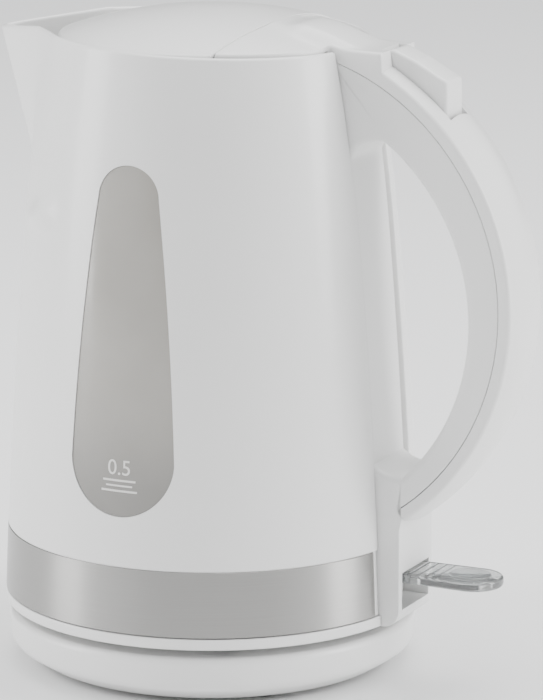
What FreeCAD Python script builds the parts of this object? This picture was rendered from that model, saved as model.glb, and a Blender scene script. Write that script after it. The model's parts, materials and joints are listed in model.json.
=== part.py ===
import FreeCAD, Part
import math
import os
import re
import Sketcher

# A cordless electric kettle on a 360-degree power base.  Millimetres.  The origin is on the
# table in the middle of the base, +Z is up, the spout points to -X and the handle to +X.

doc = FreeCAD.newDocument("Kettle")
sheet = doc.addObject("Spreadsheet::Sheet", "Sizes")

SIZES = [
    # power base
    ("base_radius", 72.8, "outer radius of the power base"),
    ("base_foot_ring", 63.5, "radius at which the base side turns under"),
    ("base_low", 2.0, "underside of the base cover"),
    ("base_turn", 7.5, "height where the base side becomes upright"),
    ("base_top", 18.7, "top of the base cover"),
    ("base_edge", 2.0, "rounding of the top edge of the base"),
    ("base_wall", 2.2, "wall of the base cover"),
    ("plate_wall", 2.0, "thickness of the base plate"),
    ("foot_radius", 5.0, "rubber foot"),
    ("foot_circle", 54.0, "radius of the circle of feet"),
    ("boss_circle", 42.0, "radius of the circle of base screws"),
    ("boss_radius", 3.6, "screw boss"),
    ("cord_radius", 3.4, "bore of the cord gland, for a 6.8 mm lead"),
    ("gland_height", 10.9, "height of the cord gland above the table"),
    # 360-degree connector
    ("tower_radius", 20.5, "central tower of the base"),
    ("tower_top", 30.0, "top of the tower"),
    ("groove_inner", 10.5, "middle radius of the inner ring groove"),
    ("groove_outer", 16.0, "middle radius of the outer ring groove"),
    ("groove_half", 1.1, "half width of a ring groove"),
    ("groove_floor", 16.0, "bottom of the ring grooves"),
    ("ring_half", 0.5, "half thickness of a contact ring"),
    ("ring_low", 20.0, "lower edge of the contact rings"),
    ("pin_radius", 2.6, "centre contact pin"),
    ("socket_radius", 3.4, "socket for the centre pin"),
    ("plug_radius", 24.0, "kettle half of the connector"),
    ("plug_low", 31.0, "underside of the connector's disc"),
    ("plug_top", 38.0, "top of the connector's disc"),
    ("plug_gap", 0.35, "running gap around the turning connector"),
    # jug outline
    ("base_gap", 3.2, "shadow gap between base and jug"),
    ("hip_radius", 73.9, "jug radius at its lower edge"),
    ("waist_radius", 65.6, "jug radius where the two sweeps meet"),
    ("waist_height", 153.5, "height where the two sweeps meet"),
    ("rim_radius", 55.4, "jug radius at the top of the outline"),
    ("rim_height", 226.0, "top of the outline before the mouth is cut"),
    ("low_sweep", 2400.0, "arc of the lower side"),
    ("high_sweep", 640.0, "arc of the upper side"),
    ("mouth_height", 223.8, "height of the mouth at the middle"),
    ("mouth_fall", 0.03, "slope of the mouth, lower at the handle"),
    ("jug_wall", 2.4, "wall of the jug"),
    ("skirt_height", 4.3, "height of the skirt below the band"),
    ("band_height", 23.2, "height of the steel band"),
    ("band_wall", 0.5, "thickness of the steel band"),
    ("band_gap", 0.15, "play around the band"),
    ("band_end_angle", 13.7, "half angle left open at the rear by the band"),
    # windows
    ("window_low", 66.8, "lowest point of a window"),
    ("window_high", 186.7, "highest point of a window"),
    ("window_wide", 19.7, "radius of a window's lower end"),
    ("window_narrow", 11.5, "radius of a window's upper end"),
    ("window_side", 1000.0, "arc of a window's long side"),
    ("window_lean", 3.0, "angle where end arc and side arc meet"),
    ("window_play", 0.08, "play between a window and the jug"),
    # spout
    ("spout_reach", 84.6, "tip of the spout at the mouth"),
    ("spout_middle", 79.4, "ridge of the spout at its middle section"),
    ("spout_root", 64.0, "ridge of the spout at its root"),
    ("spout_root_height", 156.0, "height of the spout's root"),
    ("spout_middle_height", 200.0, "height of the spout's middle section"),
    ("spout_half", 33.0, "half width of the spout at the mouth"),
    ("spout_middle_half", 24.0, "half width of the spout at its middle section"),
    ("spout_root_half", 8.0, "half width of the spout at its root"),
    ("spout_nose", 3.5, "rounding of the spout's ridge"),
    ("spout_drop", 221.0, "height of the spout's tip"),
    # heater
    ("ledge_low", 55.0, "underside of the heater ledge"),
    ("ledge_wall", 2.5, "thickness of the heater ledge"),
    ("ledge_radius", 58.0, "inner radius of the heater ledge"),
    ("heater_radius", 64.5, "radius of the steel heater plate"),
    ("heater_wall", 0.8, "thickness of the steel heater plate"),
    ("seal_wall", 1.1, "thickness of the silicone seal"),
    ("spreader_radius", 54.0, "aluminium heat spreader"),
    ("spreader_wall", 2.2, "thickness of the heat spreader"),
    ("element_ring", 44.0, "middle radius of the tubular element"),
    ("element_radius", 3.4, "radius of the element's sheath"),
    ("element_sweep", 300.0, "angle the element covers"),
    ("control_radius", 34.0, "flange of the control"),
    ("control_top", 46.0, "top of the control"),
    # rear channel, handle and column
    ("handle_half", 14.0, "half width of the handle"),
    ("handle_wall", 2.2, "wall of the handle mouldings"),
    ("channel_depth", 4.6, "depth of the channel behind the handle's spine"),
    ("spine_recess", 2.5, "how far the spine lies below the jug's surface"),
    ("spine_play", 0.15, "play around the spine"),
    ("arch_x", 27.6, "centre of the handle's arcs, along X"),
    ("arch_z", 135.5, "centre of the handle's arcs, height"),
    ("arch_outer", 91.9, "outer edge of the handle"),
    ("arch_seam", 87.3, "joint between inner and outer handle mouldings"),
    ("arch_inner", 75.6, "inner face of the handle"),
    ("inner_drop", 4.6, "how far the inner face's centre lies below the outer's"),
    ("crown", 1.8, "crown of the handle's outer face"),
    ("strip_end_angle", 76.0, "angle above level at which the outer strip ends under the saddle"),
    ("strip_edge", 1.2, "height of the strip's upright sides below its crown"),
    ("arch_fillet", 11.0, "fillet between spine and inner face"),
    ("column_back", 79.0, "rear face of the switch column"),
    ("column_top", 64.0, "height where the column meets the handle"),
    ("column_round", 6.0, "rounding of the column's lower rear edge"),
    ("slot_half", 11.3, "half width of the lever slot"),
    ("slot_low", 28.0, "lower end of the lever slot"),
    ("slot_high", 41.3, "upper end of the lever slot"),
    # switch lever
    ("lever_x", 73.4, "lever pivot, along X"),
    ("lever_z", 39.0, "lever pivot, height"),
    ("lever_half", 10.4, "half width of the lever"),
    ("lever_tip", 111.5, "tip of the lever"),
    ("lever_wall", 3.8, "thickness of the lever"),
    ("hub_radius", 3.5, "hub of the lever"),
    ("lever_pin_radius", 1.5, "pivot pin of the lever"),
    ("pin_play", 0.05, "running play on a pivot pin"),
    # lid, saddle and button
    ("lid_radius", 53.2, "radius of the lid"),
    ("lid_edge", 223.5, "height of the lid's edge"),
    ("lid_rise", 9.2, "height of the dome above its edge"),
    ("lid_wall", 2.0, "wall of the lid"),
    ("seam_x", 27.9, "seam between lid and saddle, along X"),
    ("hinge_x", 38.0, "lid hinge, along X"),
    ("hinge_z", 219.0, "lid hinge, height"),
    ("hinge_pin_radius", 1.6, "lid hinge pin"),
    ("ear_reach", 18.5, "outer faces of the ears that hold the hinge pin"),
    ("seam_gap", 0.35, "gap at the seam"),
    ("plug_ring_radius", 51.0, "ring of the inner lid inside the mouth"),
    ("lid_floor", 215.0, "underside of the inner lid"),
    ("button_half", 6.8, "half width of the release button"),
    ("button_front", 68.4, "front end of the button, along X"),
    ("button_back", 92.4, "rear end of the button, along X"),
    ("button_gap", 0.35, "gap around the button"),
    ("button_pin_radius", 1.0, "pivot pin of the button"),
    ("button_pin_x", 71.5, "button pivot, along X"),
    ("button_pin_z", 208.4, "button pivot, height"),
    ("button_room", 1.6, "room behind the button for its swing"),
    ("link_x", 70.6, "cross bar of the latch slider inside the button, along X"),
    ("link_z", 214.0, "cross bar of the latch slider, height"),
    ("link_radius", 0.8, "cross bar of the latch slider"),
    ("tube_radius", 3.2, "outer radius of the steam tube"),
    ("tube_bore", 2.3, "bore radius of the steam tube"),
    ("tube_head_angle", 73.0, "angle above level where the steam tube starts"),
    ("tube_foot_angle", 49.0, "angle below level where the steam tube ends"),
    ("tube_play", 0.4, "play between the steam tube and the handle"),
]

for row, (alias, amount, meaning) in enumerate(SIZES, start=1):
    sheet.set(f"A{row}", alias)
    sheet.set(f"B{row}", str(amount))
    sheet.set(f"C{row}", meaning)
    sheet.setAlias(f"B{row}", alias)
doc.recompute()

WORD = re.compile(r"\b[a-z][a-z0-9_]*\b(?!\()")


def tied(text):
    """An expression for a document object: every word is read from the Sizes sheet."""
    return WORD.sub(r"Sizes.\g<0>", str(text))


def size(text):
    """The number that an expression of Sizes gives now."""
    return float(sheet.evalExpression(str(text)))


# ---------------------------------------------------------------- places that follow the sizes

skirt_low = "(base_top + base_gap)"
band_low = f"({skirt_low} + skirt_height)"
band_high = f"({band_low} + band_height)"


def sweep_centre(low_r, low_z, high_r, high_z, radius):
    """Centre of the arc that bulges outwards through a low and a high point of the outline."""
    chord = f"(({low_r} - {high_r})^2 + ({high_z} - {low_z})^2)"
    lean = f"sqrt({radius}^2 / {chord} - 0.25)"
    centre_r = f"(({low_r} + {high_r}) / 2 - ({high_z} - {low_z}) * {lean})"
    centre_z = f"(({low_z} + {high_z}) / 2 - ({low_r} - {high_r}) * {lean})"
    return centre_r, centre_z


LOW_CENTRE = sweep_centre("hip_radius", skirt_low, "waist_radius", "waist_height", "low_sweep")
HIGH_CENTRE = sweep_centre("waist_radius", "waist_height", "rim_radius", "rim_height", "high_sweep")


def side_low(height, inset="0"):
    """Radius of the jug's lower side at a height, less an inset."""
    centre_r, centre_z = LOW_CENTRE
    return f"({centre_r} + sqrt(low_sweep^2 - (({height}) - {centre_z})^2) - ({inset}))"


def side_high(height, inset="0"):
    """Radius of the jug's upper side at a height, less an inset."""
    centre_r, centre_z = HIGH_CENTRE
    return f"({centre_r} + sqrt(high_sweep^2 - (({height}) - {centre_z})^2) - ({inset}))"


# ---------------------------------------------------------------- ways of making a piece

def piece(label):
    """A PartDesign body: one moulded, turned or cut piece."""
    body = doc.addObject("PartDesign::Body", label)
    body.Label = label
    return body


def sketch_on(body, role, lift="0"):
    """A sketch on one of the body's own origin planes, moved along the plane's normal."""
    sketch = body.newObject("Sketcher::SketchObject", body.Label + "_sketch")
    plane = [each for each in body.Origin.OriginFeatures if each.Role == role][0]
    sketch.AttachmentSupport = [(plane, "")]
    sketch.MapMode = "FlatFace"
    sketch.setExpression("AttachmentOffset.Base.z", tied(lift))
    return sketch


def arc_between(start, end, radius, side):
    """The short arc from start to end with its centre on the left or right of the way."""
    across = end - start
    half = across.Length / 2
    left = FreeCAD.Vector(-across.y, across.x, 0).normalize()
    reach = math.sqrt(max(radius * radius - half * half, 0.0))
    turn = 1 if side == "left" else -1
    centre = (start + end) * 0.5 + left * (reach * turn)
    first, last = (start, end) if side == "left" else (end, start)
    angle_1 = math.atan2(first.y - centre.y, first.x - centre.x)
    angle_2 = math.atan2(last.y - centre.y, last.x - centre.x)
    circle = Part.Circle(centre, FreeCAD.Vector(0, 0, 1), radius)
    return Part.ArcOfCircle(circle, angle_1, angle_2 if angle_2 > angle_1 else angle_2 + 2 * math.pi)


def outline(sketch, corners):
    """A closed outline.  A corner is (x, y), or (x, y, radius, side) before an arc."""
    places = [FreeCAD.Vector(size(corner[0]), size(corner[1]), 0) for corner in corners]
    first_edge = sketch.GeometryCount
    ends = []
    for number, corner in enumerate(corners):
        start = places[number]
        end = places[(number + 1) % len(corners)]
        edge = first_edge + number
        if len(corner) == 2:
            sketch.addGeometry(Part.LineSegment(start, end))
            ends.append((edge, 1, 2))
        else:
            sketch.addGeometry(arc_between(start, end, size(corner[2]), corner[3]))
            ends.append((edge, 1, 2) if corner[3] == "left" else (edge, 2, 1))
    for number in range(len(corners)):
        edge, _, tail = ends[number]
        following, head, _ = ends[(number + 1) % len(corners)]
        sketch.addConstraint(Sketcher.Constraint("Coincident", edge, tail, following, head))
    for number, corner in enumerate(corners):
        edge, head, _ = ends[number]
        tie(sketch, Sketcher.Constraint("DistanceX", -1, 1, edge, head, places[number].x), corner[0])
        tie(sketch, Sketcher.Constraint("DistanceY", -1, 1, edge, head, places[number].y), corner[1])
        if len(corner) > 2:
            tie(sketch, Sketcher.Constraint("Radius", edge, size(corner[2])), corner[2])


def tie(sketch, constraint, text):
    """Adds a constraint whose value follows an expression of Sizes."""
    number = sketch.addConstraint(constraint)
    sketch.setExpression(f"Constraints[{number}]", tied(text))


def ring(sketch, x, y, radius):
    """A circle in a sketch."""
    place = FreeCAD.Vector(size(x), size(y), 0)
    edge = sketch.addGeometry(Part.Circle(place, FreeCAD.Vector(0, 0, 1), size(radius)))
    tie(sketch, Sketcher.Constraint("DistanceX", -1, 1, edge, 3, place.x), x)
    tie(sketch, Sketcher.Constraint("DistanceY", -1, 1, edge, 3, place.y), y)
    tie(sketch, Sketcher.Constraint("Radius", edge, size(radius)), radius)


def turned(body, corners, angle="360", cut=False):
    """Turns an outline of (radius, height) corners about the vertical axis."""
    sketch = sketch_on(body, "XZ_Plane")
    outline(sketch, corners)
    kind = "PartDesign::Groove" if cut else "PartDesign::Revolution"
    feature = body.newObject(kind, body.Label + "_turned")
    feature.Profile = sketch
    feature.ReferenceAxis = (sketch, ["V_Axis"])
    feature.Midplane = True
    feature.setExpression("Angle", tied(angle))
    return feature


def extruded(body, role, shapes, length, cut=False, lift="0", both=False, back=False):
    """Pads or pockets outlines and circles drawn on an origin plane."""
    sketch = sketch_on(body, role, lift)
    for shape in shapes:
        if isinstance(shape, tuple):
            ring(sketch, *shape)
        else:
            outline(sketch, shape)
    kind = "PartDesign::Pocket" if cut else "PartDesign::Pad"
    feature = body.newObject(kind, body.Label + "_extruded")
    feature.Profile = sketch
    feature.SideType = "Symmetric" if both else "One side"
    feature.setExpression("Length", tied(length))
    feature.Reversed = back
    return feature


def box(low_x, low_y, high_x, high_y):
    """The four corners of an upright rectangle."""
    return [(low_x, low_y), (high_x, low_y), (high_x, high_y), (low_x, high_y)]


def made(label, shape):
    """A piece whose shape neither a body nor a primitive gives."""
    feature = doc.addObject("Part::Feature", label)
    feature.Label = label
    feature.Shape = shape
    return feature


def around(count, circle, start=0.0):
    """Points evenly spaced on a circle about the vertical axis."""
    step = 2 * math.pi / count
    first = math.radians(start)
    return [(circle * math.cos(first + step * each), circle * math.sin(first + step * each))
            for each in range(count)]


def screws(label, places, base, head, shank):
    """A set of equal screws that point up: head and shank are (radius, height)."""
    bodies = []
    for x, y in places:
        foot = FreeCAD.Vector(x, y, base)
        cap = Part.makeCylinder(head[0], head[1], foot)
        stem = Part.makeCylinder(shank[0], head[1] + shank[1], foot)
        slot_wide = head[0] * 1.3
        slot = Part.makeBox(slot_wide, 0.6, 0.7, foot - FreeCAD.Vector(slot_wide / 2, 0.3, 0))
        cross = Part.makeBox(0.6, slot_wide, 0.7, foot - FreeCAD.Vector(0.3, slot_wide / 2, 0))
        bodies.append(cap.fuse(stem).cut(slot).cut(cross))
    return made(label, Part.makeCompound(bodies))


# ---------------------------------------------------------------- power base

def base_cover():
    """White dish, open underneath, with three screw bosses and the hole for the tower."""
    body = piece("base_cover")
    turned(body, [
        ("base_foot_ring", "base_low"), ("base_radius - 0.5", "base_turn"),
        ("base_radius", "base_top - base_edge", "base_edge", "left"),
        ("base_radius - base_edge", "base_top"), ("tower_radius + 1.5", "base_top"),
        ("tower_radius + 1.5", "base_top - base_wall"),
        ("base_radius - base_wall", "base_top - base_wall"),
        ("base_radius - base_wall", "base_turn + 0.8"),
        ("base_foot_ring - 0.5", "base_low + plate_wall + 0.3"),
        ("base_foot_ring - 1.5", "base_low")])
    places = around(3, size("boss_circle"), 60)
    roof = "base_top - base_wall"
    bosses = [(x, y, "boss_radius") for x, y in places]
    extruded(body, "XY_Plane", bosses, f"{roof} - base_low - plate_wall - 0.5",
             lift="base_low + plate_wall + 0.5")
    pilots = [(x, y, "1.25") for x, y in places]
    extruded(body, "XY_Plane", pilots, "8", cut=True, lift="base_low + plate_wall + 0.5", back=True)
    extruded(body, "XZ_Plane", [("0", "gland_height", "cord_radius + 1.6")], "16",
             cut=True, lift="-base_radius", both=True)
    return body


def base_plate():
    """Flat bottom of the base with the holes for feet and screws."""
    body = piece("base_plate")
    low = "base_low + 0.2"
    extruded(body, "XY_Plane", [("0", "0", "base_foot_ring - 1.8")], "plate_wall", lift=low)
    holes = [(x, y, "foot_radius - 1") for x, y in around(4, size("foot_circle"), 45)]
    holes += [(x, y, "1.6") for x, y in around(3, size("boss_circle"), 60)]
    extruded(body, "XY_Plane", holes, "plate_wall + 2", cut=True, lift=low + " - 1", back=True)
    return body


def rubber_feet():
    """Four pressed-in rubber feet with a neck through the plate and a head inside."""
    for number, (x, y) in enumerate(around(4, size("foot_circle"), 45), start=1):
        foot = piece(f"foot_{number}")
        low = "base_low + 0.2"
        turned(foot, [
            ("0", "0"), ("foot_radius - 0.6", "0"), ("foot_radius", "0.6"), ("foot_radius", low),
            ("foot_radius - 1.1", low), ("foot_radius - 1.1", f"{low} + plate_wall"),
            ("foot_radius - 0.3", f"{low} + plate_wall"), ("foot_radius - 1.3", f"{low} + plate_wall + 1.5"),
            ("0", f"{low} + plate_wall + 1.5")])
        foot.Placement.Base = FreeCAD.Vector(x, y, 0)


def base_connector():
    """Insulating tower: a centre socket and two ring grooves, held under the base cover."""
    body = piece("base_connector")
    shelf = "base_top - base_wall - 0.1"
    turned(body, [
        ("socket_radius", "6"), ("tower_radius - 2.5", "6"), ("tower_radius - 2.5", f"{shelf} - 2.4"),
        ("tower_radius + 5", f"{shelf} - 2.4"), ("tower_radius + 5", shelf), ("tower_radius", shelf),
        ("tower_radius", "tower_top - 1"), ("tower_radius - 1", "tower_top"), ("socket_radius", "tower_top")])
    for groove in ("groove_inner", "groove_outer"):
        turned(body, box(f"{groove} - groove_half", "groove_floor", f"{groove} + groove_half", "tower_top + 1"),
               cut=True)
    return body


def base_contacts():
    """Brass contacts on the floors of the socket and of the two grooves."""
    live = piece("base_contact_live")
    turned(live, box("0", "7", "socket_radius - 0.1", "9"))
    extruded(live, "XY_Plane", [("0", "0", "1.4")], "9", lift="9")
    for label, groove in (("base_contact_neutral", "groove_inner"), ("base_contact_earth", "groove_outer")):
        contact = piece(label)
        turned(contact, box(f"{groove} - groove_half + 0.1", "groove_floor",
                            f"{groove} + groove_half - 0.1", "groove_floor + 2.4"))


def cord_gland():
    """Grommet in the +Y side of the base that a mains lead would come out of."""
    body = piece("cord_gland")
    extruded(body, "XZ_Plane", [("0", "gland_height", "cord_radius + 1.5"), ("0", "gland_height", "cord_radius")],
             "9.5", lift="0.5 - base_radius")
    extruded(body, "XZ_Plane", [("0", "gland_height", "cord_radius + 2.1"), ("0", "gland_height", "cord_radius")],
             "1.6", lift="7.9 - base_radius")
    return body


# ---------------------------------------------------------------- kettle half of the connector

def kettle_connector():
    """Round insulator that stays still on the tower while the jug turns about it."""
    body = piece("kettle_connector")
    turned(body, [
        ("0", "plug_low"), ("tower_radius + 0.5", "plug_low"), ("tower_radius + 0.5", "plug_low - 6"),
        ("plug_radius - 1.5", "plug_low - 6"), ("plug_radius", "plug_low"), ("plug_radius", "plug_top"),
        ("0", "plug_top")])
    turned(body, box("0", "plug_low - 1", "pin_radius - 0.6", "plug_top + 1"), cut=True)
    for groove in ("groove_inner", "groove_outer"):
        turned(body, box(f"{groove} - ring_half", "plug_low - 1", f"{groove} + ring_half", "plug_low + 3"), cut=True)
    return body


def connector_contacts():
    """Centre pin and two brass rings that dip into the tower."""
    pin = piece("connector_pin")
    turned(pin, [
        ("0", "ring_low"), ("pin_radius - 1", "ring_low"), ("pin_radius", "ring_low + 1.5"),
        ("pin_radius", "plug_low"), ("pin_radius - 0.6", "plug_low"), ("pin_radius - 0.6", "plug_top"),
        ("0", "plug_top")])
    for label, groove in (("connector_ring_inner", "groove_inner"), ("connector_ring_outer", "groove_outer")):
        turned(piece(label), box(f"{groove} - ring_half", "ring_low", f"{groove} + ring_half", "plug_low + 3"))


# ---------------------------------------------------------------- jug

CHANNEL = "handle_half + 0.4"


def side_line(inset, low_z, high_z):
    """The jug's side as two corners before arcs, from low_z to the outline's top."""
    return [(side_low(low_z, inset), low_z, f"low_sweep - ({inset})", "left"),
            (side_low("waist_height", inset), "waist_height", f"high_sweep - ({inset})", "left"),
            (side_high(high_z, inset), high_z)]


def behind(inset, low_z, high_z, reach="90"):
    """The region outside an inset side, seen from the side, out to a far upright line."""
    return side_line(inset, low_z, high_z) + [(reach, high_z), (reach, low_z)]


def mouth_cut():
    """Side view of all that is above the tilted mouth and the spout's falling edge."""
    return [("90", "mouth_height - mouth_fall * 90"), ("90", "250"), ("-100", "250"),
            ("-100", "spout_drop - 0.8"), ("-spout_reach", "spout_drop"),
            ("-rim_radius", "mouth_height + mouth_fall * rim_radius")]


def spout_section(body, height, ridge, half, back, inset):
    """Level section of the spout: two flanks that meet in a rounded ridge."""
    sketch = sketch_on(body, "XY_Plane", height)
    nose = f"(spout_nose - {inset} * 0.7)"
    tip = f"(-({ridge}) + {inset} * 1.6)"
    outline(sketch, [
        (f"-({back})", f"-({half} - {inset})"), (f"-({back})", f"{half} - {inset}"),
        (f"{tip} + {nose} * 0.5", f"{nose} * 0.85", nose, "left"),
        (f"{tip} + {nose} * 0.5", f"-{nose} * 0.85")])
    return sketch


def spout(body, inset, kind):
    """Smooth loft through three sections of the spout."""
    top = "rim_height + 4"
    sections = [
        spout_section(body, "spout_root_height", "spout_root", "spout_root_half", "spout_root - 12", inset),
        spout_section(body, "spout_middle_height", "spout_middle", "spout_middle_half", "40", inset),
        spout_section(body, top, "spout_reach + 0.4", "spout_half", "36", inset)]
    feature = body.newObject(kind, body.Label + "_spout")
    feature.Profile = sections[0]
    feature.Sections = sections[1:]
    return feature


def window_shape(play):
    """Side view of a window: two round ends joined by slightly bulging sides."""
    low_r = f"(window_wide - {play})"
    high_r = f"(window_narrow - {play})"
    low_x = f"{low_r} * cos(window_lean)"
    low_z = f"window_low + window_wide - {low_r} * sin(window_lean)"
    high_x = f"{high_r} * cos(window_lean)"
    high_z = f"window_high - window_narrow + {high_r} * sin(window_lean)"
    return [(low_x, low_z, "window_side", "left"), (high_x, high_z, high_r, "left"),
            (f"-{high_x}", high_z, "window_side", "left"), (f"-{low_x}", low_z, low_r, "left")]


def jug_shell():
    """One white moulding: the water vessel with its spout, heater ledge and rear channel."""
    body = piece("jug_shell")
    top = "rim_height + 3"
    screw_places = around(3, size("hip_radius - 7.5"), 60)
    turned(body, side_line("0", band_low, top) + [("0", top), ("0", band_low)])
    spout(body, "0", "PartDesign::AdditiveLoft")
    extruded(body, "XZ_Plane", [mouth_cut()], "300", cut=True, both=True)
    # the inside: a skirt below the heater, the ledge, and the water space above it
    turned(body, [("0", f"{band_low} - 1"), (side_low(band_low, "band_wall + band_gap + 2"), f"{band_low} - 1"),
                  (side_low("ledge_low", "jug_wall"), "ledge_low"), ("0", "ledge_low")], cut=True)
    turned(body, box("0", "ledge_low - 1", "ledge_radius", "ledge_low + ledge_wall + 1"), cut=True)
    turned(body, side_line("jug_wall", "(ledge_low + ledge_wall)", top)
           + [("0", top), ("0", "ledge_low + ledge_wall")], cut=True)
    spout(body, "jug_wall", "PartDesign::SubtractiveLoft")
    # bosses for the screws of the bottom cover
    extruded(body, "XY_Plane", [(x, y, "boss_radius + 1.4") for x, y in screw_places],
             f"ledge_low - 5 - {band_low} - 8", lift=f"{band_low} + 8")
    extruded(body, "XY_Plane", [(x, y, "1.5") for x, y in screw_places], "11", cut=True,
             lift=f"{band_low} + 7", back=True)
    # rear channel for the handle's spine, with its own back wall on the water side
    back = turned(body, side_line("channel_depth + jug_wall", "ledge_low", "(mouth_height - 6)")
                  + [(side_high("mouth_height - 6", "jug_wall / 2"), "mouth_height - 6"),
                     (side_high("waist_height", "jug_wall / 2"), "waist_height"),
                     (side_low("ledge_low", "jug_wall / 2"), "ledge_low")], angle="29")
    back.Label = "channel_back"
    extruded(body, "XZ_Plane", [behind("channel_depth", f"({band_low} - 1)", top)],
             f"2 * ({CHANNEL})", cut=True, both=True)
    extruded(body, "XZ_Plane", [box("40", f"{band_low} - 1", "90", f"{band_high} - 1")],
             f"2 * ({CHANNEL})", cut=True, both=True)
    # the latch slider and the steam port pass through the channel's back wall
    extruded(body, "XZ_Plane", [box("40", "hinge_z - 6.5", "90", "240")], "11", cut=True, both=True)
    extruded(body, "YZ_Plane", [("0", PORT_Z, "tube_radius + 1.5")], "24", cut=True,
             lift="40", back=True)
    # recess for the steel band, and both windows in one cut
    turned(body, [
        (side_low(band_low, "band_wall + band_gap"), f"{band_low} - 1"), ("90", f"{band_low} - 1"),
        ("90", band_high), (side_low(band_high, "band_wall + band_gap"), band_high)], cut=True)
    extruded(body, "XZ_Plane", [window_shape("0")], "300", cut=True, both=True)
    return body


def windows():
    """Smoky see-through panes, welded into the jug's two window openings."""
    ring_body = piece("window_ring")
    turned(ring_body, side_line("0.25", "(window_low - 3)", "(window_high + 3)")
           + [(side_high("window_high + 3", "jug_wall"), "window_high + 3", "high_sweep - jug_wall", "right"),
              (side_low("waist_height", "jug_wall"), "waist_height", "low_sweep - jug_wall", "right"),
              (side_low("window_low - 3", "jug_wall"), "window_low - 3")])
    for label, back in (("window_left", True), ("window_right", False)):
        prism = piece(label + "_outline")
        extruded(prism, "XZ_Plane", [window_shape("window_play")], "hip_radius + 5", back=back)
        pane = doc.addObject("Part::MultiCommon", label)
        pane.Label = label
        pane.Shapes = [ring_body, prism]


def trim_band():
    """Brushed steel strip that wraps the foot of the jug, open at the rear."""
    body = piece("trim_band")
    low = f"({band_low} + band_gap)"
    high = f"({band_high} - band_gap)"
    turned(body, [
        (f"-{side_low(low)}", low), (f"-{side_low(low, 'band_wall')}", low),
        (f"-{side_low(high, 'band_wall')}", high), (f"-{side_low(high)}", high, "low_sweep", "left")],
        angle="360 - 2 * band_end_angle")
    return body


def bottom_cover():
    """White bottom of the jug: skirt ring, floor, upstand inside the jug and connector hole."""
    body = piece("bottom_cover")
    inner = side_low(band_low, "band_wall + band_gap + 2.5")
    floor = f"({skirt_low} + 1.8)"
    turned(body, [
        ("plug_radius + 4.4", floor), (f"{inner} + 0.5", floor), (f"{inner} + 1", skirt_low),
        ("hip_radius - 0.8", skirt_low), ("hip_radius", f"{skirt_low} + 0.8"),
        (side_low(f"({band_low} - 0.3)"), f"{band_low} - 0.3"), (inner, f"{band_low} - 0.3"),
        (inner, f"{band_low} + 7"), (f"{inner} - 1.8", f"{band_low} + 7"), (f"{inner} - 1.8", f"{floor} + 2"),
        ("plug_radius + 6", f"{floor} + 2"), ("plug_radius + 6", f"{floor} + 5"),
        ("plug_radius + 4.4", f"{floor} + 5")])
    extruded(body, "XZ_Plane", [box("50", f"{floor} + 2.01", "90", "60")], f"2 * ({CHANNEL} + 3)",
             cut=True, both=True)
    extruded(body, "XZ_Plane", [box("column_back - 12", "10", "90", f"{floor} + 3")],
             f"2 * ({CHANNEL})", cut=True, both=True)
    holes = [(x, y, "1.7") for x, y in around(3, size("hip_radius - 7.5"), 60)]
    extruded(body, "XY_Plane", holes, "10", cut=True, lift=f"{floor} - 2", back=True)
    return body


# ---------------------------------------------------------------- heater and control

def heater():
    """Steel plate, its silicone seal, the snap ring, the spreader and the tubular element."""
    plate_top = "ledge_low - seal_wall"
    plate_low = f"({plate_top} - heater_wall)"
    plate = piece("heater_plate")
    turned(plate, [
        ("0", f"{plate_low} + 1.2"), ("ledge_radius - 4", f"{plate_low} + 1.2"), ("ledge_radius - 2.5", plate_low),
        ("heater_radius", plate_low), ("heater_radius", plate_top), ("ledge_radius - 2.5", plate_top),
        ("ledge_radius - 4", f"{plate_top} + 1.2"), ("0", f"{plate_top} + 1.2")])
    seal = piece("heater_seal")
    turned(seal, box("ledge_radius + 0.5", plate_top, "heater_radius", "ledge_low"))
    snap = piece("plate_ring")
    turned(snap, box("heater_radius - 5", f"{plate_low} - 2.4", "heater_radius", plate_low))
    spreader = piece("heat_spreader")
    spreader_top = f"({plate_low} + 1.2)"
    spreader_low = f"({spreader_top} - spreader_wall)"
    turned(spreader, box("0", spreader_low, "spreader_radius", spreader_top))
    element_z = f"{spreader_low} - element_radius"
    tube = doc.addObject("Part::Torus", "element_tube")
    tube.setExpression("Radius1", tied("element_ring"))
    tube.setExpression("Radius2", tied("element_radius"))
    tube.setExpression("Angle3", tied("element_sweep"))
    tube.setExpression("Placement.Base.z", tied(element_z))
    turn = math.radians((360 - size("element_sweep")) / 2)
    tube.Placement.Rotation = FreeCAD.Rotation(FreeCAD.Vector(0, 0, 1), math.degrees(turn))
    ends = []
    for side in (1, -1):
        end = doc.addObject("Part::Cylinder", "element_end")
        end.setExpression("Radius", tied("element_radius - 0.4"))
        end.setExpression("Height", tied("10"))
        x = size("element_ring") * math.cos(turn)
        y = size("element_ring") * math.sin(turn) * side
        end.Placement.Base = FreeCAD.Vector(x, y, size(element_z) - 10)
        ends.append(end)
    element = doc.addObject("Part::MultiFuse", "heating_element")
    element.Label = "heating_element"
    element.Shapes = [tube] + ends


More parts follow.
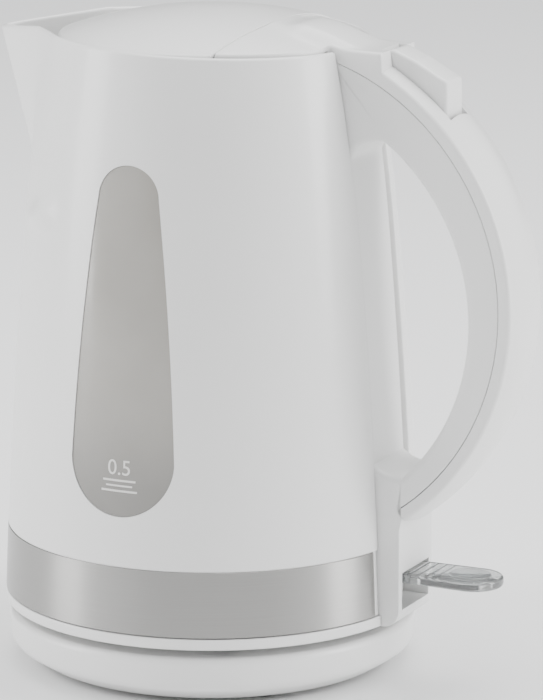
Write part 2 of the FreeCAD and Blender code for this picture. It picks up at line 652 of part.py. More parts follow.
def control():
    """Thermostat block under the heater with its dry-boil discs and screws."""
    body = piece("control_body")
    collar = "plug_radius + plug_gap"
    turned(body, [
        (f"{collar}", "plug_low - 1"), (f"{collar} + 3", "plug_low - 1"), (f"{collar} + 3", "plug_top + plug_gap"),
        ("control_radius", "plug_top + plug_gap"), ("control_radius", "plug_top + plug_gap + 3"),
        ("control_radius - 4", "control_top"), ("0", "control_top"), ("0", "plug_top + plug_gap"),
        (f"{collar}", "plug_top + plug_gap")])
    extruded(body, "XZ_Plane", [box("control_radius - 4", "plug_top + plug_gap", "control_radius + 16",
                                    "plug_top + plug_gap + 2")], "16", both=True)
    for side in (-7, 7):
        extruded(body, "XZ_Plane", [box("control_radius + 13", "plug_top + 1", "control_radius + 19", "control_top")],
                 "1.8", both=False, lift=str(side))
    places = around(3, size("control_radius - 2.6"), 60)
    extruded(body, "XY_Plane", [(x, y, "1.6") for x, y in places], "20", cut=True,
             lift="plug_top - 2", back=True)
    for label, side in (("dry_boil_disc_left", -1), ("dry_boil_disc_right", 1)):
        disc = piece(label)
        extruded(disc, "XY_Plane", [("0", f"{13 * side}", "9")], "0.5", lift="control_top + 0.6")
        extruded(disc, "XY_Plane", [("0", f"{13 * side}", "1.2")], "0.6", lift="control_top")
    screws("control_screws", places, size("plug_top + plug_gap - 2"), (2.6, 2.0), (1.5, 12.0))


# ---------------------------------------------------------------- handle and switch column

INNER_Z = "(arch_z - inner_drop)"


def arch_height(radius, x, sign, centre_z="arch_z"):
    """Height of a handle arc at X, above (+) or below (-) its centre."""
    return f"({centre_z} {sign} sqrt(({radius})^2 - (({x}) - arch_x)^2))"


def arch_reach(radius, z, centre_z="arch_z"):
    """X of a handle arc at a height, on the side away from the jug."""
    return f"(arch_x + sqrt(({radius})^2 - (({z}) - {centre_z})^2))"


FOOT_X = "(column_back - 1.2)"
FOOT_Z = arch_height("(arch_seam - 0.1)", FOOT_X, "-")
TUBE_ARC = "(arch_inner + handle_wall + tube_radius + tube_play)"
PORT_Z = arch_height(TUBE_ARC, "(rim_radius - 1)", "+", INNER_Z)


def handle_inner():
    """White inner moulding: spine on the jug, arch with its hollow, and the switch column."""
    body = piece("handle_inner")
    seam = "(arch_seam - 0.1)"
    spine_top = "(mouth_height - 6.5)"
    spine_back = "channel_depth - spine_play"
    spine_face = "spine_recess"
    fillet_high = "(arch_z + 50)"
    fillet_low = "(arch_z - 56)"
    foot_reach = "(arch_outer - strip_edge) / arch_seam"
    inner_high_x = "(waist_radius + 6)"
    inner_low_x = "(waist_radius + 14)"
    upper_z = arch_height("arch_inner", inner_high_x, "+", INNER_Z)
    lower_z = arch_height("arch_inner", inner_low_x, "-", INNER_Z)
    foot_z = f"({band_high} + 0.2)"
    extruded(body, "XZ_Plane", [[
        (side_low(foot_z, spine_back), foot_z, f"low_sweep", "left"),
        (side_low("waist_height", spine_back), "waist_height", f"high_sweep", "left"),
        (side_high(spine_top, spine_back), spine_top),
        (f"arch_x + sqrt({seam}^2 - ({spine_top} - arch_z)^2)", spine_top, seam, "right"),
        (arch_reach(seam, "arch_z"), "arch_z", seam, "right"),
        (FOOT_X, FOOT_Z),
        (f"arch_x + ({FOOT_X} - arch_x) * {foot_reach}", f"arch_z - (arch_z - {FOOT_Z}) * {foot_reach}"),
        ("column_back", "column_top - 6.5"), ("column_back", f"{skirt_low} + column_round", "column_round", "right"),
        ("column_back - column_round", skirt_low), ("hip_radius - 6.4", skirt_low),
        ("hip_radius - 6.4", foot_z)]],
        "2 * handle_half", both=True)
    # the opening that the hand goes through
    extruded(body, "XZ_Plane", [[
        (side_low(fillet_low, spine_face), fillet_low, "low_sweep", "left"),
        (side_low("waist_height", spine_face), "waist_height", "high_sweep", "left"),
        (side_high(fillet_high, spine_face), fillet_high, "arch_fillet", "right"),
        (inner_high_x, upper_z, "arch_inner", "right"),
        (arch_reach("arch_inner", INNER_Z, INNER_Z), INNER_Z, "arch_inner", "right"),
        (inner_low_x, lower_z, "arch_fillet + 4", "right")]],
        "100", cut=True, both=True)
    # the hollow of the arch, open towards the outer moulding
    hollow = "(arch_inner + handle_wall)"
    start_x = "(rim_radius + 2.2)"
    hollow_low = "(column_top + 2)"
    extruded(body, "XZ_Plane", [[
        (start_x, arch_height(hollow, start_x, "+", INNER_Z)),
        (start_x, "220"), ("150", "220"), ("150", hollow_low),
        (arch_reach(hollow, hollow_low, INNER_Z), hollow_low, hollow, "left"),
        (arch_reach(hollow, INNER_Z, INNER_Z), INNER_Z, hollow, "left")]],
        "2 * (handle_half - handle_wall)", cut=True, both=True)
    # the hollow of the column, open towards the jug's underside, and the slot for the lever
    extruded(body, "XZ_Plane", [box("60", f"{skirt_low} + 2.2", "column_back - handle_wall", f"{hollow_low} + 0.1")],
             "2 * (handle_half - handle_wall)", cut=True, both=True)
    extruded(body, "YZ_Plane", [box("-slot_half", "slot_low", "slot_half", "slot_high")], "20", cut=True,
             lift="column_back - 8", back=True)
    extruded(body, "XZ_Plane", [("lever_x", "lever_z", "lever_pin_radius + 0.02")],
             "2 * handle_half - 2", cut=True, both=True)
    extruded(body, "XZ_Plane", [("button_pin_x", "button_pin_z", "button_pin_radius")],
             "2 * (handle_half - 1.2)", cut=True, both=True)
    # passage of the latch slider and of the steam tube
    extruded(body, "XZ_Plane", [box("40", "hinge_z - 6.5", "64", "240")], "10", cut=True, both=True)
    extruded(body, "YZ_Plane", [("0", PORT_Z, "tube_radius + 1.5")], "24", cut=True,
             lift="40", back=True)
    return body


def dome(body, edge_low):
    """Turns the domed shell that lid and saddle share."""
    ball = "((lid_radius^2 + lid_rise^2) / (2 * lid_rise))"
    inner_r = "(lid_radius - lid_wall)"
    inner_ball = f"(({inner_r}^2 + lid_rise^2) / (2 * lid_rise))"
    turned(body, [
        ("0", "lid_edge + lid_rise - lid_wall", inner_ball, "right"), (inner_r, "lid_edge - lid_wall"),
        (inner_r, edge_low), ("lid_radius", edge_low), ("lid_radius", "lid_edge", ball, "left"),
        ("0", "lid_edge + lid_rise")])


def seam_arc(gap):
    """Radius about the lid hinge of the seam between lid and saddle."""
    ball = "((lid_radius^2 + lid_rise^2) / (2 * lid_rise))"
    seam_z = f"(lid_edge + lid_rise - {ball} + sqrt({ball}^2 - seam_x^2))"
    return f"(sqrt((hinge_x - seam_x)^2 + ({seam_z} - hinge_z)^2) - ({gap}))"


def seam_side(gap, end_z):
    """Corners of the seam's arc about the hinge: the lower one, before the arc, and the upper one."""
    radius = seam_arc(gap)
    start_z = "(lid_edge - 6)"
    start_x = f"(hinge_x - sqrt({radius}^2 - ({start_z} - hinge_z)^2))"
    end_x = f"(hinge_x - sqrt({radius}^2 - ({end_z} - hinge_z)^2))"
    return start_x, start_z, end_x, radius


def saddle():
    """Fixed rear part of the dome, cut by an arc about the lid hinge."""
    body = piece("saddle")
    dome(body, "mouth_height - 1.0")
    end_z = "(lid_edge + lid_rise)"
    start_x, start_z, end_x, radius = seam_side("seam_gap", end_z)
    extruded(body, "XZ_Plane", [[
        ("-60", start_z), (start_x, start_z, radius, "right"), (end_x, end_z), (end_x, "245"), ("-60", "245")]],
        "200", cut=True, both=True)
    return body


def handle_strip():
    """Crowned strip with turned-in sides, swept about the centre of the handle's arcs."""
    strip = piece("handle_strip")
    sketch = sketch_on(strip, "XY_Plane")
    side = "(handle_half - strip_edge)"
    bow = f"(({side}^2 + crown^2) / (2 * crown))"
    inner = "(handle_half - handle_wall)"
    outline(sketch, [
        ("arch_seam", "-handle_half"), ("arch_outer - strip_edge", "-handle_half"),
        ("arch_outer", f"-{side}", bow, "left"), ("arch_outer", side),
        ("arch_outer - strip_edge", "handle_half"), ("arch_seam", "handle_half"),
        ("arch_seam", inner), ("arch_outer - handle_wall", inner),
        ("arch_outer - handle_wall", f"-{inner}"), ("arch_seam", f"-{inner}")])
    turn = strip.newObject("PartDesign::Revolution", "handle_strip_turned")
    turn.Profile = sketch
    turn.ReferenceAxis = (sketch, ["V_Axis"])
    foot_turn = f"(90 * asin((arch_z - {FOOT_Z} - 0.15) / arch_seam) / asin(1))"
    turn.setExpression("Angle", tied(f"strip_end_angle + {foot_turn}"))
    turn.Reversed = True
    strip.setExpression("Placement.Base.x", tied("arch_x"))
    strip.setExpression("Placement.Base.z", tied("arch_z"))
    strip.Placement.Rotation = FreeCAD.Rotation(FreeCAD.Vector(0, 1, 0), size(foot_turn))
    return strip


def handle_cover():
    """White outer moulding: the crowned strip of the handle with the saddle over the lid hinge."""
    hump = piece("saddle_hump")
    front_z = "(lid_edge + lid_rise - 2.4)"
    front_x = seam_side("seam_gap", front_z)[2]
    extruded(hump, "XZ_Plane", [[
        (front_x, front_z), (front_x, f"{front_z} - 0.6"), ("hinge_x + 16", "mouth_height + 0.5"),
        ("hinge_x + 34", "arch_z + 79"), ("hinge_x + 34", "arch_z + 81.5", "95", "left"),
        ("hinge_x + 7", "lid_edge + 6.6", "120", "left")]], "2 * (handle_half - strip_edge)", both=True)
    joined = doc.addObject("Part::MultiFuse", "cover_joined")
    joined.Shapes = [handle_strip(), saddle(), hump]
    opening = piece("cover_opening")
    extruded(opening, "XZ_Plane",
             [box("button_front - button_gap", "arch_z + 40", "button_back + button_room", "240")],
             "2 * (button_half + button_gap)", both=True)
    cover = doc.addObject("Part::Cut", "handle_cover")
    cover.Label = "handle_cover"
    cover.Base = joined
    cover.Tool = opening
    return cover


def hinge_bracket():
    """White block screwed under the saddle, with two ears for the lid's hinge pin."""
    body = piece("hinge_bracket")
    extruded(body, "XZ_Plane", [box("hinge_x + 4.2", "hinge_z + 1.6", "hinge_x + 7", "hinge_z + 3.2")],
             "2 * ear_reach", both=True)
    for near_side in ("ear_reach - 2.5", "-ear_reach"):
        extruded(body, "XZ_Plane", [box("hinge_x - 2.6", "hinge_z - 2.6", "hinge_x + 7", "hinge_z + 3")],
                 "2.5", lift=near_side)
    extruded(body, "XZ_Plane", [("hinge_x", "hinge_z", "hinge_pin_radius")], "60", cut=True, both=True)
    return body


def hinge_pin():
    """Steel pin of the lid hinge."""
    body = piece("hinge_pin")
    extruded(body, "XZ_Plane", [("hinge_x", "hinge_z", "hinge_pin_radius")],
             "2 * ear_reach", both=True)


# ---------------------------------------------------------------- lid

def lid_cover():
    """White domed lid, cut at the rear by the arc about its hinge."""
    body = piece("lid_cover")
    dome(body, "lid_edge - 2.2")
    end_z = "(lid_edge + lid_rise)"
    start_x, start_z, end_x, radius = seam_side("0", end_z)
    extruded(body, "XZ_Plane", [[
        (start_x, start_z), ("70", start_z), ("70", "245"), (end_x, "245"), (end_x, end_z, radius, "left")]],
        "200", cut=True, both=True)
    return body


def lid_inner():
    """White inner lid: a tray inside the mouth with two swan-neck arms to the hinge pin."""
    body = piece("lid_inner")
    turned(body, [
        ("0", "lid_floor"), ("plug_ring_radius - 1", "lid_floor"), ("plug_ring_radius", "lid_floor + 1"),
        ("plug_ring_radius", "lid_edge - 2.4"), ("plug_ring_radius - 1.8", "lid_edge - 2.4"),
        ("plug_ring_radius - 1.8", "lid_floor + 2"), ("0", "lid_floor + 2")])
    extruded(body, "XZ_Plane", [box("seam_x - 8", "lid_floor - 5", "70", "240")], "200", cut=True, both=True)
    for low in ("6", "-10"):
        extruded(body, "XZ_Plane", [[
            ("seam_x - 14", "lid_floor + 0.5"), ("seam_x - 7.6", "lid_floor - 7.4"),
            ("seam_x - 0.4", "lid_floor - 8.2"), ("hinge_x + 3.6", "hinge_z - 3"),
            ("hinge_x + 3.6", "hinge_z + 1.2"), ("hinge_x + 1.2", "hinge_z + 3.6"),
            ("hinge_x - 2.6", "hinge_z + 2.6"), ("hinge_x - 4.4", "hinge_z - 3.2"),
            ("seam_x - 1.9", "lid_floor - 4.8"), ("seam_x - 6", "lid_floor - 4.2"),
            ("seam_x - 8", "lid_floor + 1.5"), ("seam_x - 14", "lid_floor + 1.5")]], "4", lift=low)
    extruded(body, "XZ_Plane", [("hinge_x", "hinge_z", "3.2")], "14", both=True)
    extruded(body, "XZ_Plane", [box("hinge_x + 1", "hinge_z - 1.2", "hinge_x + 5.6", "hinge_z + 1.2")], "7.6", both=True)
    extruded(body, "XZ_Plane", [("hinge_x", "hinge_z", "hinge_pin_radius + pin_play")], "60", cut=True, both=True)
    extruded(body, "XY_Plane", [("-20", "-20", "2.5"), ("-20", "20", "2.5")], "7", lift="lid_floor + 2")
    extruded(body, "XY_Plane", [("-20", "-20", "1.2"), ("-20", "20", "1.2")], "12", cut=True,
             lift="lid_floor - 1", back=True)
    return body


def lid_seal():
    """Silicone lip that sits around the inner lid."""
    body = piece("lid_seal")
    turned(body, [
        ("plug_ring_radius", "lid_floor + 2"), ("plug_ring_radius + 1.1", "lid_floor + 2.6"),
        ("plug_ring_radius + 1.1", "lid_floor + 3.2"), ("plug_ring_radius", "lid_floor + 3.8")])
    extruded(body, "XZ_Plane", [box("seam_x - 8", "lid_floor - 5", "70", "240")], "200", cut=True, both=True)
    return body


# ---------------------------------------------------------------- release button and latch

def release_button():
    """White thumb wedge that rises towards the rear and turns on a pin at its front."""
    body = piece("release_button")
    front = "button_front"
    back = "button_back"
    extruded(body, "XZ_Plane", [[
        (front, "arch_z + 86.2"), (f"{front} + 1.6", "arch_z + 88.0", "45", "right"),
        (f"{back} - 2.2", "arch_z + 79.0", "3", "right"), (f"{back} - 0.4", "arch_z + 76.6"),
        (back, "arch_z + 62.5"), ("button_pin_x + 5", "button_pin_z - 1.8"),
        ("button_pin_x", "button_pin_z - 2.4"), ("button_pin_x - 2.6", "button_pin_z")]],
        "2 * button_half", both=True)
    extruded(body, "XZ_Plane", [("button_pin_x", "button_pin_z", "button_pin_radius + pin_play")],
             "30", cut=True, both=True)
    # room for the return spring on the pin
    extruded(body, "XZ_Plane", [("button_pin_x", "button_pin_z", "2.4")], "7", cut=True, both=True)
    extruded(body, "XZ_Plane", [box("button_pin_x - 8", "button_pin_z - 4", "button_pin_x", "button_pin_z + 2.4")],
             "7", cut=True, both=True)
    # slot that holds the slider's cross bar
    room = "(link_radius + button_gap)"
    extruded(body, "XZ_Plane", [box(f"link_x - {room}", f"link_z - {room}", f"link_x + {room}", f"link_z + {room}")],
             "6.4", cut=True, both=True)
    extruded(body, "XZ_Plane", [box("button_front - 1", "link_z - 1.5", "link_x", "link_z + 1.5")],
             "3.6", cut=True, both=True)
    return body


def button_pin():
    """Steel pivot pin of the button, held in the sides of the handle's inner moulding."""
    body = piece("button_pin")
    extruded(body, "XZ_Plane", [("button_pin_x", "button_pin_z", "button_pin_radius")],
             "2 * (handle_half - 1.3)", both=True)


def latch_slider():
    """Sliding bar from the button to the lid hinge: a cross bar behind, a latch nose in front."""
    body = piece("latch_slider")
    extruded(body, "XZ_Plane", [[
        ("hinge_x + 6.6", "hinge_z - 6"), ("button_front - 4.4", "hinge_z - 6"),
        ("button_front - 4.4", "hinge_z - 3.4"), ("hinge_x + 9", "hinge_z - 3.4"),
        ("hinge_x + 9", "hinge_z + 0.5"), ("hinge_x + 6.6", "hinge_z - 0.5")]], "8", both=True)
    extruded(body, "XZ_Plane", [box("button_front - 5", "link_z - 0.7", "link_x", "link_z + 0.7")], "2.8", both=True)
    extruded(body, "XZ_Plane", [("link_x", "link_z", "link_radius")], "5.4", both=True)
    return body


def coil(label, radius, wire, pitch, turns, place, rotation):
    """A wound wire spring: a round section carried along a helix."""
    helix = Part.makeHelix(pitch, pitch * turns, radius)
    start = helix.Edges[0].valueAt(helix.Edges[0].FirstParameter)
    section = Part.Wire(Part.makeCircle(wire / 2, start, FreeCAD.Vector(0, 1, 0)))
    spring = Part.Wire(helix.Edges).makePipeShell([section], True, True)
    feature = made(label, Part.Solid(spring) if spring.ShapeType != "Solid" else spring)
    feature.Placement = FreeCAD.Placement(place, rotation)
    return feature


def springs():
    """Steel springs of the lid, the button and the latch."""
    along_y = FreeCAD.Rotation(FreeCAD.Vector(1, 0, 0), -90)
    along_x = FreeCAD.Rotation(FreeCAD.Vector(0, 1, 0), 90)
    hinge = FreeCAD.Vector(size("hinge_x"), -15.6, size("hinge_z"))
    coil("lid_spring", 2.0, 0.6, 1.1, 4, hinge, along_y)
    button = FreeCAD.Vector(size("button_pin_x"), -2.4, size("button_pin_z"))
    coil("button_spring", 1.6, 0.5, 0.8, 6, button, along_y)
    latch = FreeCAD.Vector(size("hinge_x + 10.5"), 0, size("hinge_z - 1.2"))
    coil("latch_spring", 1.4, 0.4, 1.2, 8, latch, along_x)


# ---------------------------------------------------------------- switch

def switch_lever():
    """Clear lever: a flat blade with a rounded end, a hub on the pin and a short inner arm."""
    body = piece("switch_lever")
    extruded(body, "XY_Plane", [[
        ("lever_x", "-lever_half + 0.8"), ("lever_tip - lever_half", "-lever_half", "lever_half + 0.01", "left"),
        ("lever_tip", "0", "lever_half + 0.01", "left"),
        ("lever_tip - lever_half", "lever_half"), ("lever_x", "lever_half - 0.8")]],
        "lever_wall", lift="lever_z - lever_wall / 2")
    extruded(body, "XZ_Plane", [("lever_x", "lever_z", "hub_radius")], "2 * lever_half - 1.6", both=True)
    extruded(body, "XZ_Plane", [box("lever_x - 11", "lever_z - 1.6", "lever_x", "lever_z + 1.4")], "6", both=True)
    extruded(body, "XZ_Plane", [("lever_x", "lever_z", "lever_pin_radius + pin_play")], "60", cut=True, both=True)
    return body


def lever_pin():
    """Steel pivot pin of the lever, pressed into the column's walls."""
    body = piece("lever_pin")
    extruded(body, "XZ_Plane", [("lever_x", "lever_z", "lever_pin_radius")], "2 * handle_half - 2.4", both=True)


def trip_rocker():
    """Small rocker in the control that the lever's inner arm lifts."""
    body = piece("trip_rocker")
    pivot_x = "lever_x - 18.5"
    pivot_z = "lever_z + 3.4"
    extruded(body, "XZ_Plane", [[
        (f"{pivot_x} - 4", f"{pivot_z} - 1"), (f"{pivot_x} + 7.5", f"{pivot_z} - 1.4"),
        (f"{pivot_x} + 7.5", f"{pivot_z} + 0.6"), (f"{pivot_x} - 4", f"{pivot_z} + 1")]], "5", both=True)
    extruded(body, "XZ_Plane", [(pivot_x, pivot_z, "2")], "5", both=True)
    extruded(body, "XZ_Plane", [(pivot_x, pivot_z, "0.8 + pin_play")], "9", cut=True, both=True)
    pin = piece("rocker_pin")
    extruded(pin, "XZ_Plane", [(pivot_x, pivot_z, "0.8")], "15.8", both=True)


def steam_switch():
    """Bimetal steam disc on its carrier in the column, and the small lamp under the lever."""
    carrier = piece("switch_frame")
    low = f"({skirt_low} + 2.4)"
    extruded(carrier, "YZ_Plane", [box("-11.6", low, "11.6", "column_top - 3")], "1.6", lift="lever_x - 5.4")
    extruded(carrier, "YZ_Plane", [box("-4", "lever_z - 6", "4", "lever_z + 6"), ("0", "column_top - 10", "6")],
             "10", cut=True, lift="lever_x - 8", back=True)
    disc = piece("steam_disc")
    extruded(disc, "YZ_Plane", [("0", "column_top - 10", "7.5")], "0.4", lift="lever_x - 3.5")


def hose(points, outer, bore):
    """A round hose along straight runs that arcs join; each corner is (point, bend radius)."""
    edges = []
    at = points[0][0]
    for number in range(1, len(points) - 1):
        corner, bend = points[number]
        before = (corner - points[number - 1][0]).normalize()
        after = (points[number + 1][0] - corner).normalize()
        turn = before.getAngle(after)
        setback = bend * math.tan(turn / 2)
        arc_start = corner - before * setback
        arc_end = corner + after * setback
        inward = (after - before).normalize()
        arc_middle = corner + inward * (bend / math.cos(turn / 2) - bend)
        edges.append(Part.makeLine(at, arc_start))
        edges.append(Part.Arc(arc_start, arc_middle, arc_end).toShape())
        at = arc_end
    edges.append(Part.makeLine(at, points[-1][0]))
    route = Part.Wire(edges)
    heading = (points[1][0] - points[0][0]).normalize()
    solids = []
    for radius in (outer, bore):
        if radius:
            section = Part.Wire(Part.makeCircle(radius, points[0][0], heading))
            solids.append(route.makePipeShell([section], True, False))
    return solids[0].cut(solids[1]) if bore else solids[0]


def steam_tube():
    """Silicone tube that carries steam from the mouth through the handle's hollow to the column."""
    body = piece("steam_tube")
    sketch = sketch_on(body, "XY_Plane")
    ring(sketch, TUBE_ARC, "0", "tube_radius")
    ring(sketch, TUBE_ARC, "0", "tube_bore")
    bend = body.newObject("PartDesign::Revolution", "steam_tube_turned")
    bend.Profile = sketch
    bend.ReferenceAxis = (sketch, ["V_Axis"])
    bend.setExpression("Angle", tied("tube_head_angle + tube_foot_angle"))
    bend.Reversed = True
    body.setExpression("Placement.Base.x", tied("arch_x"))
    body.setExpression("Placement.Base.z", tied(INNER_Z))
    body.Placement.Rotation = FreeCAD.Rotation(FreeCAD.Vector(0, 1, 0), size("tube_foot_angle"))


def pilot_lamp():
    """Small neon lamp below the lever's hub, with its two leads from the control."""
    lamp_x = size("lever_x - 9.5")
    lamp_z = size("lever_z - 7.8")
    lamp = Part.makeCylinder(2.2, 9, FreeCAD.Vector(lamp_x, -4.5, lamp_z), FreeCAD.Vector(0, 1, 0))
    lamp = lamp.fuse(Part.makeSphere(2.2, FreeCAD.Vector(lamp_x, 4.5, lamp_z)))
    made("pilot_lamp", lamp)
    leads = []
    for side in (-1, 1):
        low = lamp_z - 3.6
        points = [
            (FreeCAD.Vector(size("control_radius - 2"), side * 2.6, size("plug_top - 0.2")), 0),
            (FreeCAD.Vector(size("control_radius - 2"), side * 2.6, low), 4.0),
            (FreeCAD.Vector(lamp_x, side * 2.6, low), 1.2),
            (FreeCAD.Vector(lamp_x, side * 2.6, lamp_z - 2.25), 0)]
        leads.append(hose(points, 0.8, 0))
    made("lamp_leads", Part.makeCompound(leads))


def spout_filter():
    """Removable filter before the spout: a curved plastic frame round a fine mesh."""
    frame = piece("filter_frame")
    low = "(spout_middle_height - 12)"
    high = "(mouth_height - 11)"
    middle = f"(({low} + {high}) / 2)"
    face = side_high(middle, "jug_wall + 3.4")
    angle = "56"
    turned(frame, [(f"-{face}", low), (f"-({face} - 2)", low), (f"-({face} - 2)", high), (f"-{face}", high)], angle)
    extruded(frame, "YZ_Plane", [box("-20", f"{low} + 3", "-1.5", f"{high} - 3"),
                                 box("1.5", f"{low} + 3", "20", f"{high} - 3")], "60", cut=True, lift="-70", back=True)
    mesh = piece("filter_mesh")
    turned(mesh, [(f"-({face} - 2.05)", f"{low} + 1.5"), (f"-({face} - 2.35)", f"{low} + 1.5"),
                  (f"-({face} - 2.35)", f"{high} - 1.5"), (f"-({face} - 2.05)", f"{high} - 1.5")], "52")


def fasteners():
    """Screws of the base, the bottom cover, the lid and the handle."""
    screws("base_screws", around(3, size("boss_circle"), 60), size("base_low - 1.1"), (2.6, 1.3), (1.25, 9.0))
    screws("bottom_screws", around(3, size("hip_radius - 7.5"), 60), size(f"{skirt_low} + 0.1"), (3.0, 1.7), (1.5, 16.0))
    screws("lid_screws", [(-20, -20), (-20, 20)], size("lid_floor - 1.0"), (2.6, 1.0), (1.2, 6.0))


# ---------------------------------------------------------------- writing the pieces

PIECES = [base_cover, base_plate, rubber_feet, base_connector, base_contacts, cord_gland,
          kettle_connector, connector_contacts, jug_shell, windows, trim_band, bottom_cover,
          heater, control, handle_inner, handle_cover, hinge_bracket, hinge_pin, lid_cover,
          lid_inner, lid_seal, release_button, button_pin, latch_slider, springs, switch_lever,
          lever_pin, trip_rocker, steam_switch, steam_tube, pilot_lamp, spout_filter, fasteners]
for make in PIECES:
    make()
doc.recompute()

# a node is a shape that belongs to no body and that no other shape is made from
faults = [each.Label for each in doc.Objects if "Invalid" in each.State or "Error" in each.State]
nodes = [each for each in doc.Objects
         if each.isDerivedFrom("Part::Feature") and each.getParentGeoFeatureGroup() is None
         and not [user for user in each.InList if user.isDerivedFrom("Part::Feature")]]
for node in nodes:
    if node.Shape.isNull() or not node.Shape.isValid() or not node.Shape.Solids:
        faults.append(node.Label)
if faults:
    raise RuntimeError(f"these pieces did not build: {sorted(set(faults))}")

os.makedirs("parts", exist_ok=True)
for node in nodes:
    node.Shape.exportStep(f"parts/{node.Label}.step")
print(len(nodes), "nodes written")
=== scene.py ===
import json
import math
import bmesh
import bpy
import numpy as np
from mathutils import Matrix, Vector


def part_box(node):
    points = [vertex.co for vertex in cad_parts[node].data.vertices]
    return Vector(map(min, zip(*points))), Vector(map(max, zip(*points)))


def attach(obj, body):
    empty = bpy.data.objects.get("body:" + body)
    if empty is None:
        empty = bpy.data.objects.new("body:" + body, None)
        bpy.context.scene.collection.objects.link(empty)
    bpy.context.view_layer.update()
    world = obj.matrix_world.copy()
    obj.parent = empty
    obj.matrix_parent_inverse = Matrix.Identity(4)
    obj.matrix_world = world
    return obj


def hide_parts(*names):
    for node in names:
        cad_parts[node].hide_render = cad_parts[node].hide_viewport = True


# A cordless electric kettle on its round power base.  Shapes are worked out in millimetres and
# put into the meshes in metres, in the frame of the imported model: +Z up, spout to -X.

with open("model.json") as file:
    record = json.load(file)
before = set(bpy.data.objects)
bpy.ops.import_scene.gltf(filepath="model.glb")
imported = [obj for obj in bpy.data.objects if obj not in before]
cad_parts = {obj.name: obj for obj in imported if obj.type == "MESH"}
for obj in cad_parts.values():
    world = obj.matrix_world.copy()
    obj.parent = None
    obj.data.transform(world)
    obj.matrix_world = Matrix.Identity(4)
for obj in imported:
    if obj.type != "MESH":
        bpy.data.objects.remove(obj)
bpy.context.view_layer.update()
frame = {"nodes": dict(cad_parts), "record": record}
nodes = frame["nodes"]


# ---------------------------------------------------------------- jug
# The water vessel: one white polypropylene injection moulding, polished in the tool, with a
# drawn-out spout, a rounded rim, two window openings and a channel behind for the handle.

MM = 0.001


def corners(node):
    """Lowest and highest corner of a CAD node, in millimetres."""
    low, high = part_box(node)
    return np.array(low) / MM, np.array(high) / MM


def put_in_scene(name, mesh_data):
    """A new object at the origin that shows the mesh."""
    piece = bpy.data.objects.new(name, mesh_data)
    bpy.context.scene.collection.objects.link(piece)
    return piece


def skin(name, points, join_rows=False, join_columns=True, sharp=32.0):
    """One closed piece from a grid of points in millimetres: a quad between every four neighbours,
    first and last row or column joined where asked, doubles merged, open ends closed by one face."""
    rows, columns = points.shape[:2]
    number = np.arange(rows * columns).reshape(rows, columns)
    below = np.roll(number, -1, axis=0) if join_rows else number[1:]
    here = number if join_rows else number[:-1]
    if join_columns:
        right, below_right = np.roll(here, -1, axis=1), np.roll(below, -1, axis=1)
    else:
        here, right, below, below_right = here[:, :-1], here[:, 1:], below[:, :-1], below[:, 1:]
    quads = np.stack([here, right, below_right, below], axis=-1).reshape(-1, 4)
    mesh_data = bpy.data.meshes.new(name)
    mesh_data.from_pydata((points.reshape(-1, 3) * MM).tolist(), [], quads.tolist())
    work = bmesh.new()
    work.from_mesh(mesh_data)
    bmesh.ops.remove_doubles(work, verts=work.verts, dist=0.004 * MM)
    bmesh.ops.holes_fill(work, edges=work.edges, sides=0)
    bmesh.ops.recalc_face_normals(work, faces=work.faces)
    work.to_mesh(mesh_data)
    work.free()
    mesh_data.shade_smooth()
    mesh_data.set_sharp_from_angle(angle=math.radians(sharp))
    return put_in_scene(name, mesh_data)


def cut_away(piece, tool):
    """Takes a tool's volume out of a piece and throws the tool away."""
    cutter = piece.modifiers.new("cut", "BOOLEAN")
    cutter.operation = "DIFFERENCE"
    cutter.solver = "EXACT"
    cutter.object = tool
    bpy.context.view_layer.objects.active = piece
    bpy.ops.object.modifier_apply(modifier=cutter.name)
    bpy.data.objects.remove(tool)
    piece.data.shade_smooth()
    piece.data.set_sharp_from_angle(angle=math.radians(32))


def bulge(z, low, high, radius):
    """Radius at height z on an arc through two (radius, height) points, bulging outwards: the
    arc's centre lies square to the middle of the chord, inwards."""
    across, up = high[0] - low[0], high[1] - low[1]
    lean = math.sqrt(radius**2 / (across**2 + up**2) - 0.25)
    centre_r = (low[0] + high[0]) / 2 - up * lean
    centre_z = (low[1] + high[1]) / 2 + across * lean
    return centre_r + np.sqrt(radius**2 - (z - centre_z) ** 2)


HIP = (73.9, 21.9)
WAIST = (65.6, 153.5)
RIM = (55.4, 226.0)
LOW_SWEEP, HIGH_SWEEP = 2400.0, 640.0


def jug_side(z):
    """Radius of the jug at height z: a long arc from hip to waist, then a shorter one to the rim."""
    z = np.asarray(z, float)
    return np.where(z < WAIST[1], bulge(z, HIP, WAIST, LOW_SWEEP), bulge(z, WAIST, RIM, HIGH_SWEEP))


SPOUT_ROOT, MOUTH = 157.0, 223.8
SPOUT_GROWTH, SPOUT_HALF = 31.0, 33.0
SPOUT_NOSE = 0.05


